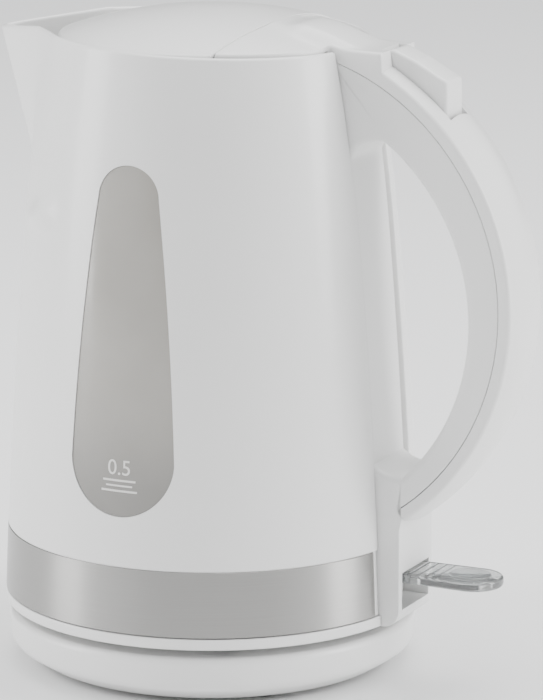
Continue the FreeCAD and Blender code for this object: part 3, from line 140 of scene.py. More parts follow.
def jug_reach(turn, z, inset):
    """Distance from the axis in the direction turn (0 towards +X): the round side, and the spout's
    two flat flanks that meet in a rounded ridge at -X, joined by a smooth larger-of-the-two."""
    side = jug_side(z) - inset
    rise = np.clip((z - SPOUT_ROOT) / (MOUTH - SPOUT_ROOT), 0, 1.05)
    half = np.minimum(8 + (SPOUT_HALF - 8) * rise, side * 0.9)
    tip = side + SPOUT_GROWTH * rise * (1 + 0.06 * rise) + 0.5
    lean = np.arctan2(half, tip - np.sqrt(side**2 - half**2))
    off_ridge = np.abs(np.angle(np.exp(1j * (turn - math.pi))))
    off_ridge = np.sqrt(off_ridge**2 + SPOUT_NOSE**2)
    flank = tip * np.sin(lean) / np.sin(np.minimum(lean + off_ridge, math.pi / 2 + 0.6))
    flank = np.where(off_ridge < 1.1, flank, 0)
    soft = 1.2 + 3.0 * rise
    joined = (side + flank + np.sqrt((side - flank) ** 2 + soft**2)) / 2
    weight = np.clip((z - SPOUT_ROOT) / 12, 0, 1) * np.clip((1.1 - off_ridge) / 0.3, 0, 1)
    return side + (joined - side) * weight * weight * (3 - 2 * weight)


def mouth_height(x):
    """Height of the rim at X: a plane that is lower at the handle, and the spout's falling lip."""
    plane = MOUTH - 0.03 * x
    lip = MOUTH + 0.03 * RIM[0] - (-RIM[0] - x) * 0.155
    return np.minimum(plane, lip)


CHANNEL_HALF, CHANNEL_DEEP, CHANNEL_EDGE = 14.4, 4.6, 0.7
WALL, RIM_ROUND = 2.4, 1.2


def channel_columns(around):
    """The level outline's columns: for each, how far round it is (0 to 1) or its fixed Y, and how
    far it lies inside the jug's side.  The channel's two edges are quarter circles."""
    quarter = np.linspace(0, math.pi / 2, 5)
    edge_y = CHANNEL_HALF + CHANNEL_EDGE * (1 - np.sin(quarter))
    edge_in = CHANNEL_EDGE * (1 - np.cos(quarter))
    floor_y = np.linspace(CHANNEL_HALF, -CHANNEL_HALF, 9)
    share = np.concatenate([np.linspace(0, 1, around), np.full(19, np.nan)])
    fixed = np.concatenate([np.full(around, np.nan), -edge_y, -floor_y, edge_y[::-1]])
    deep = np.concatenate([np.zeros(around), edge_in, np.full(9, CHANNEL_DEEP), edge_in[::-1]])
    return share, fixed, deep


def jug_rows(band_low, band_high):
    """Rows of the section, as (share of the way up to the rim or nan, height, inset, rim angle)."""
    up = np.linspace(0, 1, 70)
    over = np.linspace(0, math.pi, 11)[1:-1]
    down = np.linspace(1, 0, 40)
    start = band_high + 0.5
    rows = [(np.nan, band_low, 0.65, 0), (np.nan, band_high, 0.65, 0), (np.nan, band_high + 0.05, 0.3, 0)]
    rows += [(share, start, 0, 0) for share in up]
    rows += [(1, start, 0, angle) for angle in over]
    rows += [(share, 57.5, WALL, math.pi) for share in down]
    return rows


def jug_points(band_low, band_high):
    """The jug's closed skin: every row of the section carried round every column."""
    share, fixed, deep = channel_columns(300)
    grid = []
    for up, height, inset, angle in jug_rows(band_low, band_high):
        z = np.full(share.shape, float(height))
        for _ in range(2 if up == up else 1):
            edge_turn = np.arcsin((CHANNEL_HALF + CHANNEL_EDGE) / jug_side(z))
            turn = edge_turn + (2 * math.pi - 2 * edge_turn) * np.nan_to_num(share)
            whole = jug_reach(turn, z, 0)
            rim_z = mouth_height(whole * np.cos(turn)) - RIM_ROUND
            if up == up:
                z = height + (rim_z - height) * up
        reach = jug_reach(turn, z, 0) - inset
        if angle and inset == 0:
            reach = reach - RIM_ROUND * (1 - math.cos(angle))
            z = z + RIM_ROUND * math.sin(angle)
        widen = 1 + (WALL / CHANNEL_HALF if inset == WALL else 0)
        y = np.where(np.isnan(fixed), reach * np.sin(turn), np.nan_to_num(fixed) * widen)
        back = np.sqrt(np.maximum((jug_side(z) - inset - deep) ** 2 - np.nan_to_num(fixed) ** 2, 1))
        x = np.where(np.isnan(fixed), reach * np.cos(turn), back)
        grid.append(np.stack([x, y, z], axis=-1))
    return np.array(grid)


WINDOW_LOW, WINDOW_HIGH = 66.8, 186.7
WINDOW_WIDE, WINDOW_NARROW = 19.7, 11.5


def window_half(z, play):
    """Half width of a window at height z: a wide round end below, a narrow one above, and between
    them sides that bulge a little."""
    low_z, high_z = WINDOW_LOW + WINDOW_WIDE, WINDOW_HIGH - WINDOW_NARROW
    wide, narrow = WINDOW_WIDE - play, WINDOW_NARROW - play
    low_end = np.sqrt(np.maximum(wide**2 - (z - low_z) ** 2, 0))
    high_end = np.sqrt(np.maximum(narrow**2 - (z - high_z) ** 2, 0))
    lean = math.radians(3)
    low = (wide * math.cos(lean), low_z - wide * math.sin(lean))
    high = (narrow * math.cos(lean), high_z + narrow * math.sin(lean))
    side = bulge(np.clip(z, low[1], high[1]), low, high, 1000)
    return np.where(z < low[1], low_end, np.where(z > high[1], high_end, side))


def window_tool():
    """A bar with the window's outline, right through the jug from side to side."""
    share = (1 - np.cos(np.linspace(0, math.pi, 91))) / 2
    z = WINDOW_LOW + (WINDOW_HIGH - WINDOW_LOW) * share
    loop_z = np.concatenate([z, z[-2:0:-1]])
    half = window_half(z, 0)
    loop_x = np.concatenate([half, -half[-2:0:-1]])
    rows = [np.stack([loop_x, np.full(loop_x.shape, y), loop_z], axis=-1) for y in (-100.0, 100.0)]
    return skin("window_tool", np.array(rows))


band_floor, band_top = corners("trim_band")[0][2], corners("trim_band")[1][2]
jug = skin("jug_body", jug_points(band_floor, band_top), join_rows=True)
cut_away(jug, window_tool())


def linear(hex_colour):
    """An sRGB hex colour as linear red, green, blue and full alpha."""
    parts = [int(hex_colour[at:at + 2], 16) / 255 for at in (1, 3, 5)]
    return [part / 12.92 if part <= 0.04045 else ((part + 0.055) / 1.055) ** 2.4 for part in parts] + [1.0]


def add(material, kind, links=(), **settings):
    """Adds a node of a kind to a material, gives its sockets or properties values, and links it:
    each link is (from node, from socket, to socket of this node)."""
    node = material.node_tree.nodes.new(kind)
    for name, value in settings.items():
        socket = node.inputs.get(name.replace("_", " "))
        if socket is not None:
            socket.default_value = value
        else:
            setattr(node, name, value)
    for source, output, target in links:
        material.node_tree.links.new(source.outputs[output], node.inputs[target])
    return node


def start_material(name, **surface):
    """A material with a Principled surface whose even values are set on its own sockets."""
    material = bpy.data.materials.new(name)
    material.use_nodes = True
    shader = material.node_tree.nodes["Principled BSDF"]
    for socket, value in surface.items():
        shader.inputs[socket.replace("_", " ")].default_value = value
    place = add(material, "ShaderNodeTexCoord")
    return material, shader, place


def moulded_plastic(name, colour, roughness, grain_mm=0.5, lift_mm=0.012):
    """Injection-moulded plastic: an even colour, a satin gloss that clouds a little where the
    melt flowed, and the faint ripple of a polished tool, drawn coarse enough to show."""
    material, shader, place = start_material(name, IOR=1.49, Coat_Weight=0.25, Coat_Roughness=0.12)
    shader.inputs["Subsurface Weight"].default_value = 0.08
    shader.inputs["Subsurface Radius"].default_value = (0.004, 0.004, 0.004)
    shader.inputs["Subsurface Scale"].default_value = 0.5
    cloud = add(material, "ShaderNodeTexNoise", [(place, "Object", "Vector")], Scale=38.0, Detail=3.0)
    tint = add(material, "ShaderNodeMapRange", [(cloud, "Fac", "Value")], To_Min=0.975, To_Max=1.0)
    shade = add(material, "ShaderNodeMixRGB", [(tint, "Result", "Color2")], blend_type="MULTIPLY",
                Fac=1.0, Color1=linear(colour))
    rough = add(material, "ShaderNodeMapRange", [(cloud, "Fac", "Value")],
                To_Min=roughness * 0.86, To_Max=roughness * 1.16)
    ripple = add(material, "ShaderNodeTexNoise", [(place, "Object", "Vector")],
                 Scale=1 / (grain_mm * MM), Detail=2.0)
    relief = add(material, "ShaderNodeBump", [(ripple, "Fac", "Height")],
                 Strength=0.06, Distance=lift_mm * MM)
    links = material.node_tree.links
    links.new(shade.outputs["Color"], shader.inputs["Base Color"])
    links.new(rough.outputs["Result"], shader.inputs["Roughness"])
    links.new(relief.outputs["Normal"], shader.inputs["Normal"])
    return material


def finish(piece, material, body, slot, *stands_for):
    """Gives a piece its material, lets it ride on a body and stand for CAD nodes. The slot is not used."""
    piece.data.materials.clear()
    piece.data.materials.append(material)
    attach(piece, body)
    if stands_for:
        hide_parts(*stands_for)


white_plastic = moulded_plastic("white_polypropylene_polished_tool", "#EEEEED", 0.30)
finish(jug, white_plastic, "jug", "white_plastic", "jug_shell")


# ---------------------------------------------------------------- water windows
# A smoky copolyester pane on each side, welded into the jug from inside.  Polished, see-through,
# with a printed level scale near its lower end.

PANE_RECESS, PANE_WALL, PANE_PLAY = 0.35, 2.0, 0.12


def pane_points(side, play):
    """A pane as closed level loops: across its outer face, and back across its inner face, both
    following the jug's side, from the lowest point to the highest."""
    share = (1 - np.cos(np.linspace(0, math.pi, 101))) / 2
    z = WINDOW_LOW + play + (WINDOW_HIGH - WINDOW_LOW - 2 * play) * share
    across = np.sin(np.linspace(-math.pi / 2, math.pi / 2, 31))
    x = window_half(z, play)[:, None] * across[None, :]
    radius = jug_side(z)[:, None]
    outer = np.sqrt((radius - PANE_RECESS) ** 2 - x**2)
    inner = np.sqrt((radius - PANE_RECESS - PANE_WALL) ** 2 - x**2)
    loop_x = np.concatenate([x, x[:, ::-1]], axis=1)
    loop_y = np.concatenate([outer, inner[:, ::-1]], axis=1) * side
    loop_z = np.repeat(z[:, None], loop_x.shape[1], axis=1)
    return np.stack([loop_x, loop_y, loop_z], axis=-1)


def smoky_copolyester():
    """Polished see-through copolyester with a grey-brown tint that is darker towards the bottom of the pane, and faint
    flow clouds from moulding."""
    material, shader, place = start_material("smoky_copolyester_polished", Roughness=0.16, IOR=1.57)
    shader.inputs["Coat Weight"].default_value = 0.3
    split = add(material, "ShaderNodeSeparateXYZ", [(place, "Object", "Vector")])
    # The tint is darker towards the bottom of the pane and lighter above.
    height_share = add(material, "ShaderNodeMapRange", [(split, "Z", "Value")],
                From_Min=0.070, From_Max=0.112, To_Min=0.0, To_Max=1.0, interpolation_type="SMOOTHSTEP")
    cloud = add(material, "ShaderNodeTexNoise", [(place, "Object", "Vector")], Scale=30.0, Detail=3.0)
    tint = add(material, "ShaderNodeMixRGB", [(height_share, "Result", "Fac")],
               Color1=linear("#A3A19D"), Color2=linear("#C7C4BE"))
    shade = add(material, "ShaderNodeMixRGB", [(tint, "Color", "Color1"), (cloud, "Fac", "Fac")],
                blend_type="MULTIPLY", Color2=linear("#F1F0EE"))
    see = add(material, "ShaderNodeMapRange", [(cloud, "Fac", "Value")], To_Min=0.30, To_Max=0.40)
    links = material.node_tree.links
    links.new(shade.outputs["Color"], shader.inputs["Base Color"])
    links.new(see.outputs["Result"], shader.inputs["Transmission Weight"])
    return material


smoky_pane = smoky_copolyester()
pale_print = moulded_plastic("pale_screen_print", "#E4E3E0", 0.45)


def level_marks(side):
    """The printed scale: short bars across the pane with a numeral above, a hair proud of it.
    A bar is a block whose faces follow the pane."""
    bars = [(79.4, 6.2, 0.35), (77.6, 5.0, 0.3), (75.8, 6.8, 0.35)]
    made = []
    for number, (z, half, tall) in enumerate(bars):
        across = np.linspace(-half, half, 9)
        loop_z = np.array([z - tall, z + tall, z + tall, z - tall])
        lift = np.array([0.06, 0.06, -0.1, -0.1])
        radius = jug_side(loop_z) - PANE_RECESS + lift
        y = np.sqrt(radius[None, :] ** 2 - across[:, None] ** 2) * side
        x_grid = np.repeat(across[:, None], 4, axis=1)
        z_grid = np.repeat(loop_z[None, :], 9, axis=0)
        made.append(skin(f"level_bar_{number}", np.stack([x_grid, y, z_grid], axis=-1)))
    made.append(level_numeral(side, "0.5", 81.4, 5.2))
    return made


def level_numeral(side, text, foot_z, tall):
    """A numeral of the scale, made a mesh and wrapped on the pane, to be read from outside."""
    curve = bpy.data.curves.new("numeral", "FONT")
    curve.body = text
    curve.size = tall / 0.7
    curve.extrude = 0.08
    curve.align_x = "CENTER"
    source = put_in_scene("numeral_source", curve)
    bpy.context.view_layer.update()
    mesh_data = bpy.data.meshes.new_from_object(source.evaluated_get(bpy.context.evaluated_depsgraph_get()))
    bpy.data.objects.remove(source)
    flat = np.zeros(len(mesh_data.vertices) * 3)
    mesh_data.vertices.foreach_get("co", flat)
    flat = flat.reshape(-1, 3)
    x = -flat[:, 0] * side
    z = flat[:, 1] + foot_z
    radius = jug_side(z) - PANE_RECESS + flat[:, 2] - 0.02
    y = np.sqrt(radius**2 - x**2) * side
    mesh_data.vertices.foreach_set("co", (np.stack([x, y, z], axis=-1) * MM).ravel())
    mesh_data.update()
    work = bmesh.new()
    work.from_mesh(mesh_data)
    bmesh.ops.remove_doubles(work, verts=work.verts, dist=0.002 * MM)
    bmesh.ops.recalc_face_normals(work, faces=work.faces)
    work.to_mesh(mesh_data)
    work.free()
    return put_in_scene("level_numeral", mesh_data)


def joined(name, parts):
    """Several pieces made one, under a new name."""
    work = bmesh.new()
    for part in parts:
        work.from_mesh(part.data)
        bpy.data.objects.remove(part)
    mesh_data = bpy.data.meshes.new(name)
    work.to_mesh(mesh_data)
    work.free()
    return put_in_scene(name, mesh_data)


for side, label in ((-1, "window_right"), (1, "window_left")):
    pane = skin(label + "_pane", pane_points(side, PANE_PLAY))
    finish(pane, smoky_pane, "jug", "smoke_window", label)
    marks = joined(label + "_scale", level_marks(side))
    finish(marks, pale_print, "jug", "white_plastic")


# ---------------------------------------------------------------- steel band
# A stainless strip 0.5 mm thick, brushed along its length, wrapped round the jug's foot and
# tucked in at both ends beside the switch column.

BAND_WALL, BAND_END, BAND_ROUND = 0.5, 13.7, 0.15


def band_points(low, high):
    """The strip's section, a thin upright bar with small rounds, carried round from one end to
    the other; its outer face follows the jug's side."""
    heights = np.array([low, low, low + BAND_ROUND] + list(np.linspace(low + 1, high - 1, 9))
                       + [high - BAND_ROUND, high, high])
    insets = np.array([BAND_WALL, BAND_ROUND, 0] + [0] * 9 + [0, BAND_ROUND, BAND_WALL])
    turn = np.radians(np.linspace(BAND_END, 360 - BAND_END, 361))
    radius = jug_side(heights) - insets
    x = np.cos(turn)[:, None] * radius[None, :]
    y = np.sin(turn)[:, None] * radius[None, :]
    z = np.repeat(heights[None, :], turn.size, axis=0)
    return np.stack([x, y, z], axis=-1)


def brushed_stainless():
    """Stainless strip brushed along its length: long fine lines 0.25 mm apart round the band,
    which draw the highlights out upright, and a few lines that are deeper than the rest."""
    material, shader, place = start_material("stainless_strip_brushed", Metallic=1.0, Roughness=0.30,
                                             Anisotropic=0.85, Anisotropic_Rotation=0.25)
    split = add(material, "ShaderNodeSeparateXYZ", [(place, "Object", "Vector")])
    turn = add(material, "ShaderNodeMath", [(split, "Y", 0), (split, "X", 1)], operation="ARCTAN2")
    line = add(material, "ShaderNodeCombineXYZ", [(turn, "Value", "X"), (split, "Z", "Z")])
    stretch = add(material, "ShaderNodeMapping", [(line, "Vector", "Vector")], Scale=(1.5, 1.0, 4000.0))
    lines = add(material, "ShaderNodeTexNoise", [(stretch, "Vector", "Vector")], Scale=1.0, Detail=4.0,
                Roughness=0.7)
    colour = add(material, "ShaderNodeMapRange", [(lines, "Fac", "Value")], To_Min=0.86, To_Max=1.06)
    shade = add(material, "ShaderNodeMixRGB", [(colour, "Result", "Color2")], blend_type="MULTIPLY",
                Fac=1.0, Color1=linear("#A6A5A3"))
    rough = add(material, "ShaderNodeMapRange", [(lines, "Fac", "Value")], To_Min=0.26, To_Max=0.38)
    relief = add(material, "ShaderNodeBump", [(lines, "Fac", "Height")], Strength=0.25, Distance=0.00002)
    along = add(material, "ShaderNodeTangent", direction_type="RADIAL", axis="Z")
    links = material.node_tree.links
    links.new(shade.outputs["Color"], shader.inputs["Base Color"])
    links.new(rough.outputs["Result"], shader.inputs["Roughness"])
    links.new(relief.outputs["Normal"], shader.inputs["Normal"])
    links.new(along.outputs["Tangent"], shader.inputs["Tangent"])
    return material


band = skin("steel_band", band_points(band_floor, band_top))
finish(band, brushed_stainless(), "jug", "brushed_band", "trim_band")


# ---------------------------------------------------------------- jug bottom
# The white bottom moulding below the band: a plain ring with rounded edges that carries the
# jug's lower floor.  It snaps in and is held by three screws.

def turned(section, columns=300, first=0.0, last=360.0):
    """A closed section of (radius, height) corners carried round the upright axis."""
    section = np.asarray(section, float)
    whole = last - first >= 360
    turn = np.radians(np.linspace(first, last, columns, endpoint=not whole))
    x = np.cos(turn)[:, None] * section[None, :, 0]
    y = np.sin(turn)[:, None] * section[None, :, 0]
    z = np.repeat(section[None, :, 1], turn.size, axis=0)
    return np.stack([x, y, z], axis=-1), whole


def rounded(section, radii, steps=6):
    """A closed section whose corners are replaced by arcs of the given radii, tangent to both
    neighbours: each arc is drawn as a quadratic curve between its two tangent points."""
    section = np.asarray(section, float)
    before, after = np.roll(section, 1, axis=0), np.roll(section, -1, axis=0)
    out = []
    for corner, low, high, radius in zip(section, before, after, radii):
        if not radius:
            out.append(corner[None])
            continue
        to_low = (low - corner) / np.linalg.norm(low - corner)
        to_high = (high - corner) / np.linalg.norm(high - corner)
        half = math.acos(float(np.clip(to_low @ to_high, -1, 1))) / 2
        setback = radius / math.tan(half)
        middle = corner + (to_low + to_high) / np.linalg.norm(to_low + to_high) * radius / math.sin(half)
        start, end = corner + to_low * setback - middle, corner + to_high * setback - middle
        turn = np.linspace(0, 1, steps)[:, None]
        sweep = math.pi - 2 * half
        arc = (np.sin((1 - turn) * sweep) * start + np.sin(turn * sweep) * end) / math.sin(sweep)
        out.append(middle + arc)
    return np.concatenate(out)


bottom_low = corners("bottom_cover")[0][2]
inner_foot = corners("kettle_connector")[1][0] + 4.4
skirt_top = band_floor - 0.45
skirt_in = float(jug_side(band_floor)) - 3.2
bottom_section = rounded(
    [(inner_foot, bottom_low + 1.8), (skirt_in + 0.4, bottom_low + 1.8), (skirt_in + 0.9, bottom_low),
     (HIP[0], bottom_low), (float(jug_side(skirt_top)), skirt_top), (skirt_in, skirt_top),
     (skirt_in, band_floor + 7), (skirt_in - 1.8, band_floor + 7), (skirt_in - 1.8, bottom_low + 3.8),
     (inner_foot, bottom_low + 3.8)],
    [0, 0, 0.4, 1.1, 0.5, 0, 0, 0, 0, 0])
points, whole = turned(bottom_section)
jug_bottom = skin("jug_bottom", points, join_rows=whole)


def block(name, low, high):
    """A plain box from its two corners, used only as a cutting tool."""
    (x0, y0, z0), (x1, y1, z1) = low, high
    loop = np.array([(x0, y0), (x1, y0), (x1, y1), (x0, y1)])
    rows = [np.column_stack([loop, np.full(4, z)]) for z in (z0, z1)]
    return skin(name, np.array(rows))


column_front = corners("handle_inner")[1][0]
cut_away(jug_bottom, block("column_room", (67.3, -CHANNEL_HALF, 10), (90, CHANNEL_HALF, 60)))
finish(jug_bottom, white_plastic, "jug", "white_plastic", "bottom_cover")


# ---------------------------------------------------------------- power base
# The round base: a white moulded dish with a softly rounded top edge, a side that turns under
# to a smaller foot, and a tower in the middle that the jug's connector drops over.

base_low, base_high = corners("base_cover")
BASE_RADIUS, BASE_FOOT, BASE_TURN = float(base_high[0]), 63.5, 7.5
tower_room = corners("base_connector")[1][2] * 0 + 22.0
base_section = rounded(
    [(BASE_FOOT - 1.5, base_low[2]), (BASE_FOOT, base_low[2]), (BASE_RADIUS - 0.7, BASE_TURN),
     (BASE_RADIUS, base_high[2]), (tower_room, base_high[2]), (tower_room, base_high[2] - 2.2),
     (BASE_RADIUS - 2.4, base_high[2] - 2.2), (BASE_RADIUS - 3.0, BASE_TURN + 1.2)],
    [0, 1.0, 5.0, 2.4, 0.4, 0, 0.8, 3.0], steps=9)
points, whole = turned(base_section)
base_dish = skin("power_base_dish", points, join_rows=whole)


def rod(name, start, end, radius, sides=48):
    """A round bar between two points along X, Y or Z, used as a cutting tool or a pin."""
    start, end = np.array(start, float), np.array(end, float)
    along = (end - start) / np.linalg.norm(end - start)
    one = np.cross(along, [0, 0, 1] if abs(along[2]) < 0.9 else [1, 0, 0])
    one = one / np.linalg.norm(one)
    two = np.cross(along, one)
    turn = np.linspace(0, 2 * math.pi, sides, endpoint=False)
    ring = radius * (np.cos(turn)[:, None] * one + np.sin(turn)[:, None] * two)
    return skin(name, np.array([start + ring, end + ring]))


gland_low, gland_high = corners("cord_gland")
gland_z = (gland_low[2] + gland_high[2]) / 2
cut_away(base_dish, rod("gland_room", (0, 60, gland_z), (0, 85, gland_z), 5.05))
finish(base_dish, white_plastic, "power_base", "white_plastic", "base_cover")


# ---------------------------------------------------------------- lid
# The domed lid: a white shell whose rear edge is an arc about the hinge, so that it clears the
# fixed saddle behind it.

HINGE_X, HINGE_Z = 38.0, 219.0
LID_EDGE, LID_RISE, LID_WALL, LID_ROUND = 223.5, 9.2, 2.0, 1.3
lid_low, lid_high = corners("lid_cover")
LID_RADIUS = float(lid_high[1])
BALL = (LID_RADIUS**2 + LID_RISE**2) / (2 * LID_RISE)
SEAM_X = 27.9
SEAM_ARC = math.hypot(HINGE_X - SEAM_X, LID_EDGE + LID_RISE - BALL + math.sqrt(BALL**2 - SEAM_X**2) - HINGE_Z)


def dome_height(x, y):
    """Height of the dome's outer face: a shallow ball cap."""
    return LID_EDGE + LID_RISE - BALL + np.sqrt(BALL**2 - x**2 - y**2)


def seam_place(z, gap):
    """X of the seam at height z: an arc about the hinge, less a gap."""
    return HINGE_X - np.sqrt((SEAM_ARC - gap) ** 2 - (z - HINGE_Z) ** 2)


def lid_points(top):
    """The lid as rings round its top point: out over the dome, down its edge and back under it.
    In each direction the edge is the round rim or the seam, whichever comes first."""
    corner = math.atan2(math.sqrt(LID_RADIUS**2 - 25.0**2), 25.0)
    turn = np.concatenate([np.linspace(-corner, corner, 161), np.linspace(corner, 2 * math.pi - corner, 281)[1:-1]])
    toward = np.maximum(np.cos(turn), 1e-6)
    seam = np.full(turn.shape, SEAM_X)
    for _ in range(4):
        reach = np.minimum(seam / toward, LID_RADIUS)
        seam = seam_place(dome_height(reach * np.cos(turn), reach * np.sin(turn)), 0)
    at_seam = (np.cos(turn) > 0) & (seam / toward < LID_RADIUS)
    edge = np.where(at_seam, seam / toward, LID_RADIUS)
    soft = np.where(at_seam, 0.35, LID_ROUND)
    rings = []
    for share in np.linspace(0, 1, 60):
        reach = (edge - soft) * share
        rings.append((reach, dome_height(reach * np.cos(turn), reach * np.sin(turn))))
    shoulder = rings[-1][1]
    for angle in np.linspace(0, math.pi / 2, 7)[1:]:
        rings.append((edge - soft + soft * math.sin(angle), shoulder - soft * (1 - math.cos(angle))))
    foot = np.where(at_seam, shoulder - LID_WALL, LID_EDGE - 2.2)
    foot_edge = np.where(at_seam, seam_place(foot, 0) / toward, LID_RADIUS)
    rings.append((foot_edge, foot))
    inner = np.where(at_seam, foot_edge - 0.2, LID_RADIUS - LID_WALL)
    rings.append((inner, foot))
    for share in np.linspace(1, 0, 24):
        reach = inner * share
        under = dome_height(reach * np.cos(turn), reach * np.sin(turn)) - LID_WALL
        rings.append((reach, np.minimum(under, foot) if share == 1 else under))
    return np.array([np.stack([reach * np.cos(turn), reach * np.sin(turn), height], axis=-1)
                     for reach, height in rings])


lid = skin("lid_dome", lid_points(lid_high[2]))
finish(lid, white_plastic, "lid", "white_plastic", "lid_cover")


# ---------------------------------------------------------------- handle, outer moulding
# The crowned strip along the back of the handle, one piece with the saddle over the lid hinge.
# The saddle rises out of the dome with soft flanks and runs down into the strip.

ARCH_X, ARCH_Z = 27.6, 135.5
ARCH_OUTER, ARCH_SEAM = 91.9, 87.3
HANDLE_HALF, STRIP_EDGE, CROWN = 14.0, 1.6, 1.8
COVER_WALL = 2.0
STRIP_FOOT = -54.6
STRIP_HEAD = 61.5
STRIP_LEAN = 1 / math.tan(math.radians(STRIP_HEAD))
SADDLE_SIDE = 51.8


def smooth_max(one, two, soft):
    """The larger of two heights, with a fillet of about soft where they cross."""
    return (one + two + np.sqrt((one - two) ** 2 + soft**2)) / 2


def ridge_height(x):
    """Height along the saddle's back: from the dome at the seam it swells over the hinge and
    runs down onto the handle's arc."""
    arc = ARCH_Z + np.sqrt(np.maximum((ARCH_OUTER + CROWN) ** 2 - (x - ARCH_X) ** 2, 1))
    swell = 0.3 + 1.5 * np.exp(-((x - 40.0) / 12.0) ** 2)
    rise = np.clip((x - SEAM_X) / 12, 0, 1)
    start = dome_height(np.minimum(x, 50.0), 0) - 0.35
    blend_in = rise * rise * (3 - 2 * rise)
    return start * (1 - blend_in) + np.maximum(arc + swell, 0) * blend_in


def saddle_height(x, y):
    """Height of the outer face over the hinge: the dome, joined softly to the back's crowned
    ridge, which falls away on both sides."""
    off = np.maximum(np.abs(y) - 8.5, 0)
    back = ridge_height(x) - CROWN * (y / 14.0) ** 2 * 0.6 - 0.085 * off**2
    inside = np.minimum(np.hypot(x, y), LID_RADIUS - 0.2)
    turn = np.arctan2(y, x)
    dome = dome_height(inside * np.cos(turn), inside * np.sin(turn)) - 0.6
    return smooth_max(dome, back, 1.4)


def saddle_points():
    """Sections square to X over the saddle.  Half width follows the round rim until the strip's own
    width; the side drops by the rim's depth, and the inner face is the outer one lowered."""
    rows = []
    strip_start = ARCH_X + (ARCH_OUTER + CROWN) * math.cos(math.radians(STRIP_HEAD))
    for share in np.linspace(0, 1, 44):
        x_mid = SEAM_X + (strip_start - SEAM_X) * share
        rim = math.sqrt(max(LID_RADIUS**2 - min(x_mid, LID_RADIUS) ** 2, 0))
        half = (rim**8 + HANDLE_HALF**8) ** (1 / 8)
        flat = np.sin(np.linspace(-1, 1, 61) * math.pi / 2) * (half - STRIP_EDGE)
        x_row = np.full(flat.shape, x_mid)
        if share < 1:
            fade = (1 - share) ** 3
            curve = seam_place(saddle_height(x_row, flat), 0.35) - SEAM_X
            x_row = x_row + curve * fade
        top = saddle_height(x_row, flat)
        turn = np.linspace(0, math.pi / 2, 6)[1:]
        edge_x, edge_z = x_row[-1], top[-1]
        tilt = min(max((x_mid - SADDLE_SIDE) / (strip_start - SADDLE_SIDE), 0), 1) * STRIP_LEAN
        if x_mid < SADDLE_SIDE:
            drop = max(edge_z - (MOUTH - 0.03 * x_mid + 0.3), STRIP_EDGE + 0.4)
        else:
            drop = 6.0
            for _ in range(4):
                foot_x = x_mid - tilt * drop
                drop = edge_z - ARCH_Z - math.sqrt((ARCH_SEAM + 0.15) ** 2 - (foot_x - ARCH_X) ** 2)
        side_y = half - STRIP_EDGE + STRIP_EDGE * np.sin(turn)
        side_z = edge_z - STRIP_EDGE * (1 - np.cos(turn))
        left_x = np.full(turn.size + 1, edge_x)
        right_y = np.concatenate([side_y, [half]])
        right_z = np.concatenate([side_z, [edge_z - drop]])
        inner_half = half - COVER_WALL
        inner_flat = flat * (inner_half / (half - STRIP_EDGE))
        inner_z = np.minimum(top - COVER_WALL, edge_z + 6)
        x_all = np.concatenate([left_x[::-1], x_row, left_x, [edge_x], x_row[::-1], [edge_x]])
        y_all = np.concatenate([-right_y[::-1], flat, right_y, [inner_half], inner_flat[::-1], [-inner_half]])
        z_all = np.concatenate([right_z[::-1], top, right_z, [edge_z - drop], inner_z[::-1], [edge_z - drop]])
        rows.append(np.stack([x_all - tilt * (top.max() - z_all), y_all, z_all], axis=-1))
    return rows


def handle_points():
    """Sections square to the handle's arc: sides from the seam up, rounded edges, a crowned top
    that starts as the saddle's own ridge and settles on the arc, and the inner face."""
    rows = []
    for angle in np.radians(np.linspace(STRIP_HEAD, STRIP_FOOT, 150)):
        settle = np.clip((math.radians(STRIP_HEAD) - angle) / math.radians(16), 0, 1)
        flat = np.sin(np.linspace(-1, 1, 61) * math.pi / 2) * (HANDLE_HALF - STRIP_EDGE)
        x_line = ARCH_X + ARCH_OUTER * math.cos(angle)
        over = math.hypot(x_line - ARCH_X, float(ridge_height(np.array(x_line))) - ARCH_Z) - ARCH_OUTER - CROWN
        over = over * (1 - settle) ** 2
        top = ARCH_OUTER + over + CROWN * (1 - (flat / (HANDLE_HALF - STRIP_EDGE)) ** 2)
        turn = np.linspace(0, math.pi / 2, 6)[1:]
        edge = top[-1]
        right_y = np.concatenate([HANDLE_HALF - STRIP_EDGE + STRIP_EDGE * np.sin(turn), [HANDLE_HALF]])
        right_r = np.concatenate([edge - STRIP_EDGE * (1 - np.cos(turn)), [ARCH_SEAM + 0.15]])
        inner = top - COVER_WALL
        inner_half = HANDLE_HALF - COVER_WALL
        y_all = np.concatenate([-right_y[::-1], flat, right_y, [inner_half],
                                flat[::-1] * inner_half / (HANDLE_HALF - STRIP_EDGE), [-inner_half]])
        r_all = np.concatenate([right_r[::-1], top, right_r, [ARCH_SEAM + 0.15], inner[::-1], [ARCH_SEAM + 0.15]])
        rows.append(np.stack([ARCH_X + r_all * math.cos(angle), y_all, ARCH_Z + r_all * math.sin(angle)], axis=-1))
    return rows


saddle = saddle_points()
strip = handle_points()
outer_moulding = skin("handle_outer", np.array(saddle[:-1] + strip))
button_low, button_high = corners("release_button")
cut_away(outer_moulding, block("button_room", (button_low[0] - 0.35, button_low[1] - 0.35, 190),
                               (button_high[0] + 1.6, button_high[1] + 0.35, 240)))
finish(outer_moulding, white_plastic, "jug", "white_plastic", "handle_cover")


# ---------------------------------------------------------------- handle, inner moulding
# The inner half of the handle with the spine on the jug and the switch column below: one white
# moulding with rounded edges, and a slot in the column for the lever.

ARCH_INNER, INNER_Z = 75.6, 130.9
SPINE_RECESS, COLUMN_BACK = 2.5, 79.0


def spine_face(z, inset):
    """X of the spine's face: the jug's side, moved in."""
    return jug_side(z) - inset


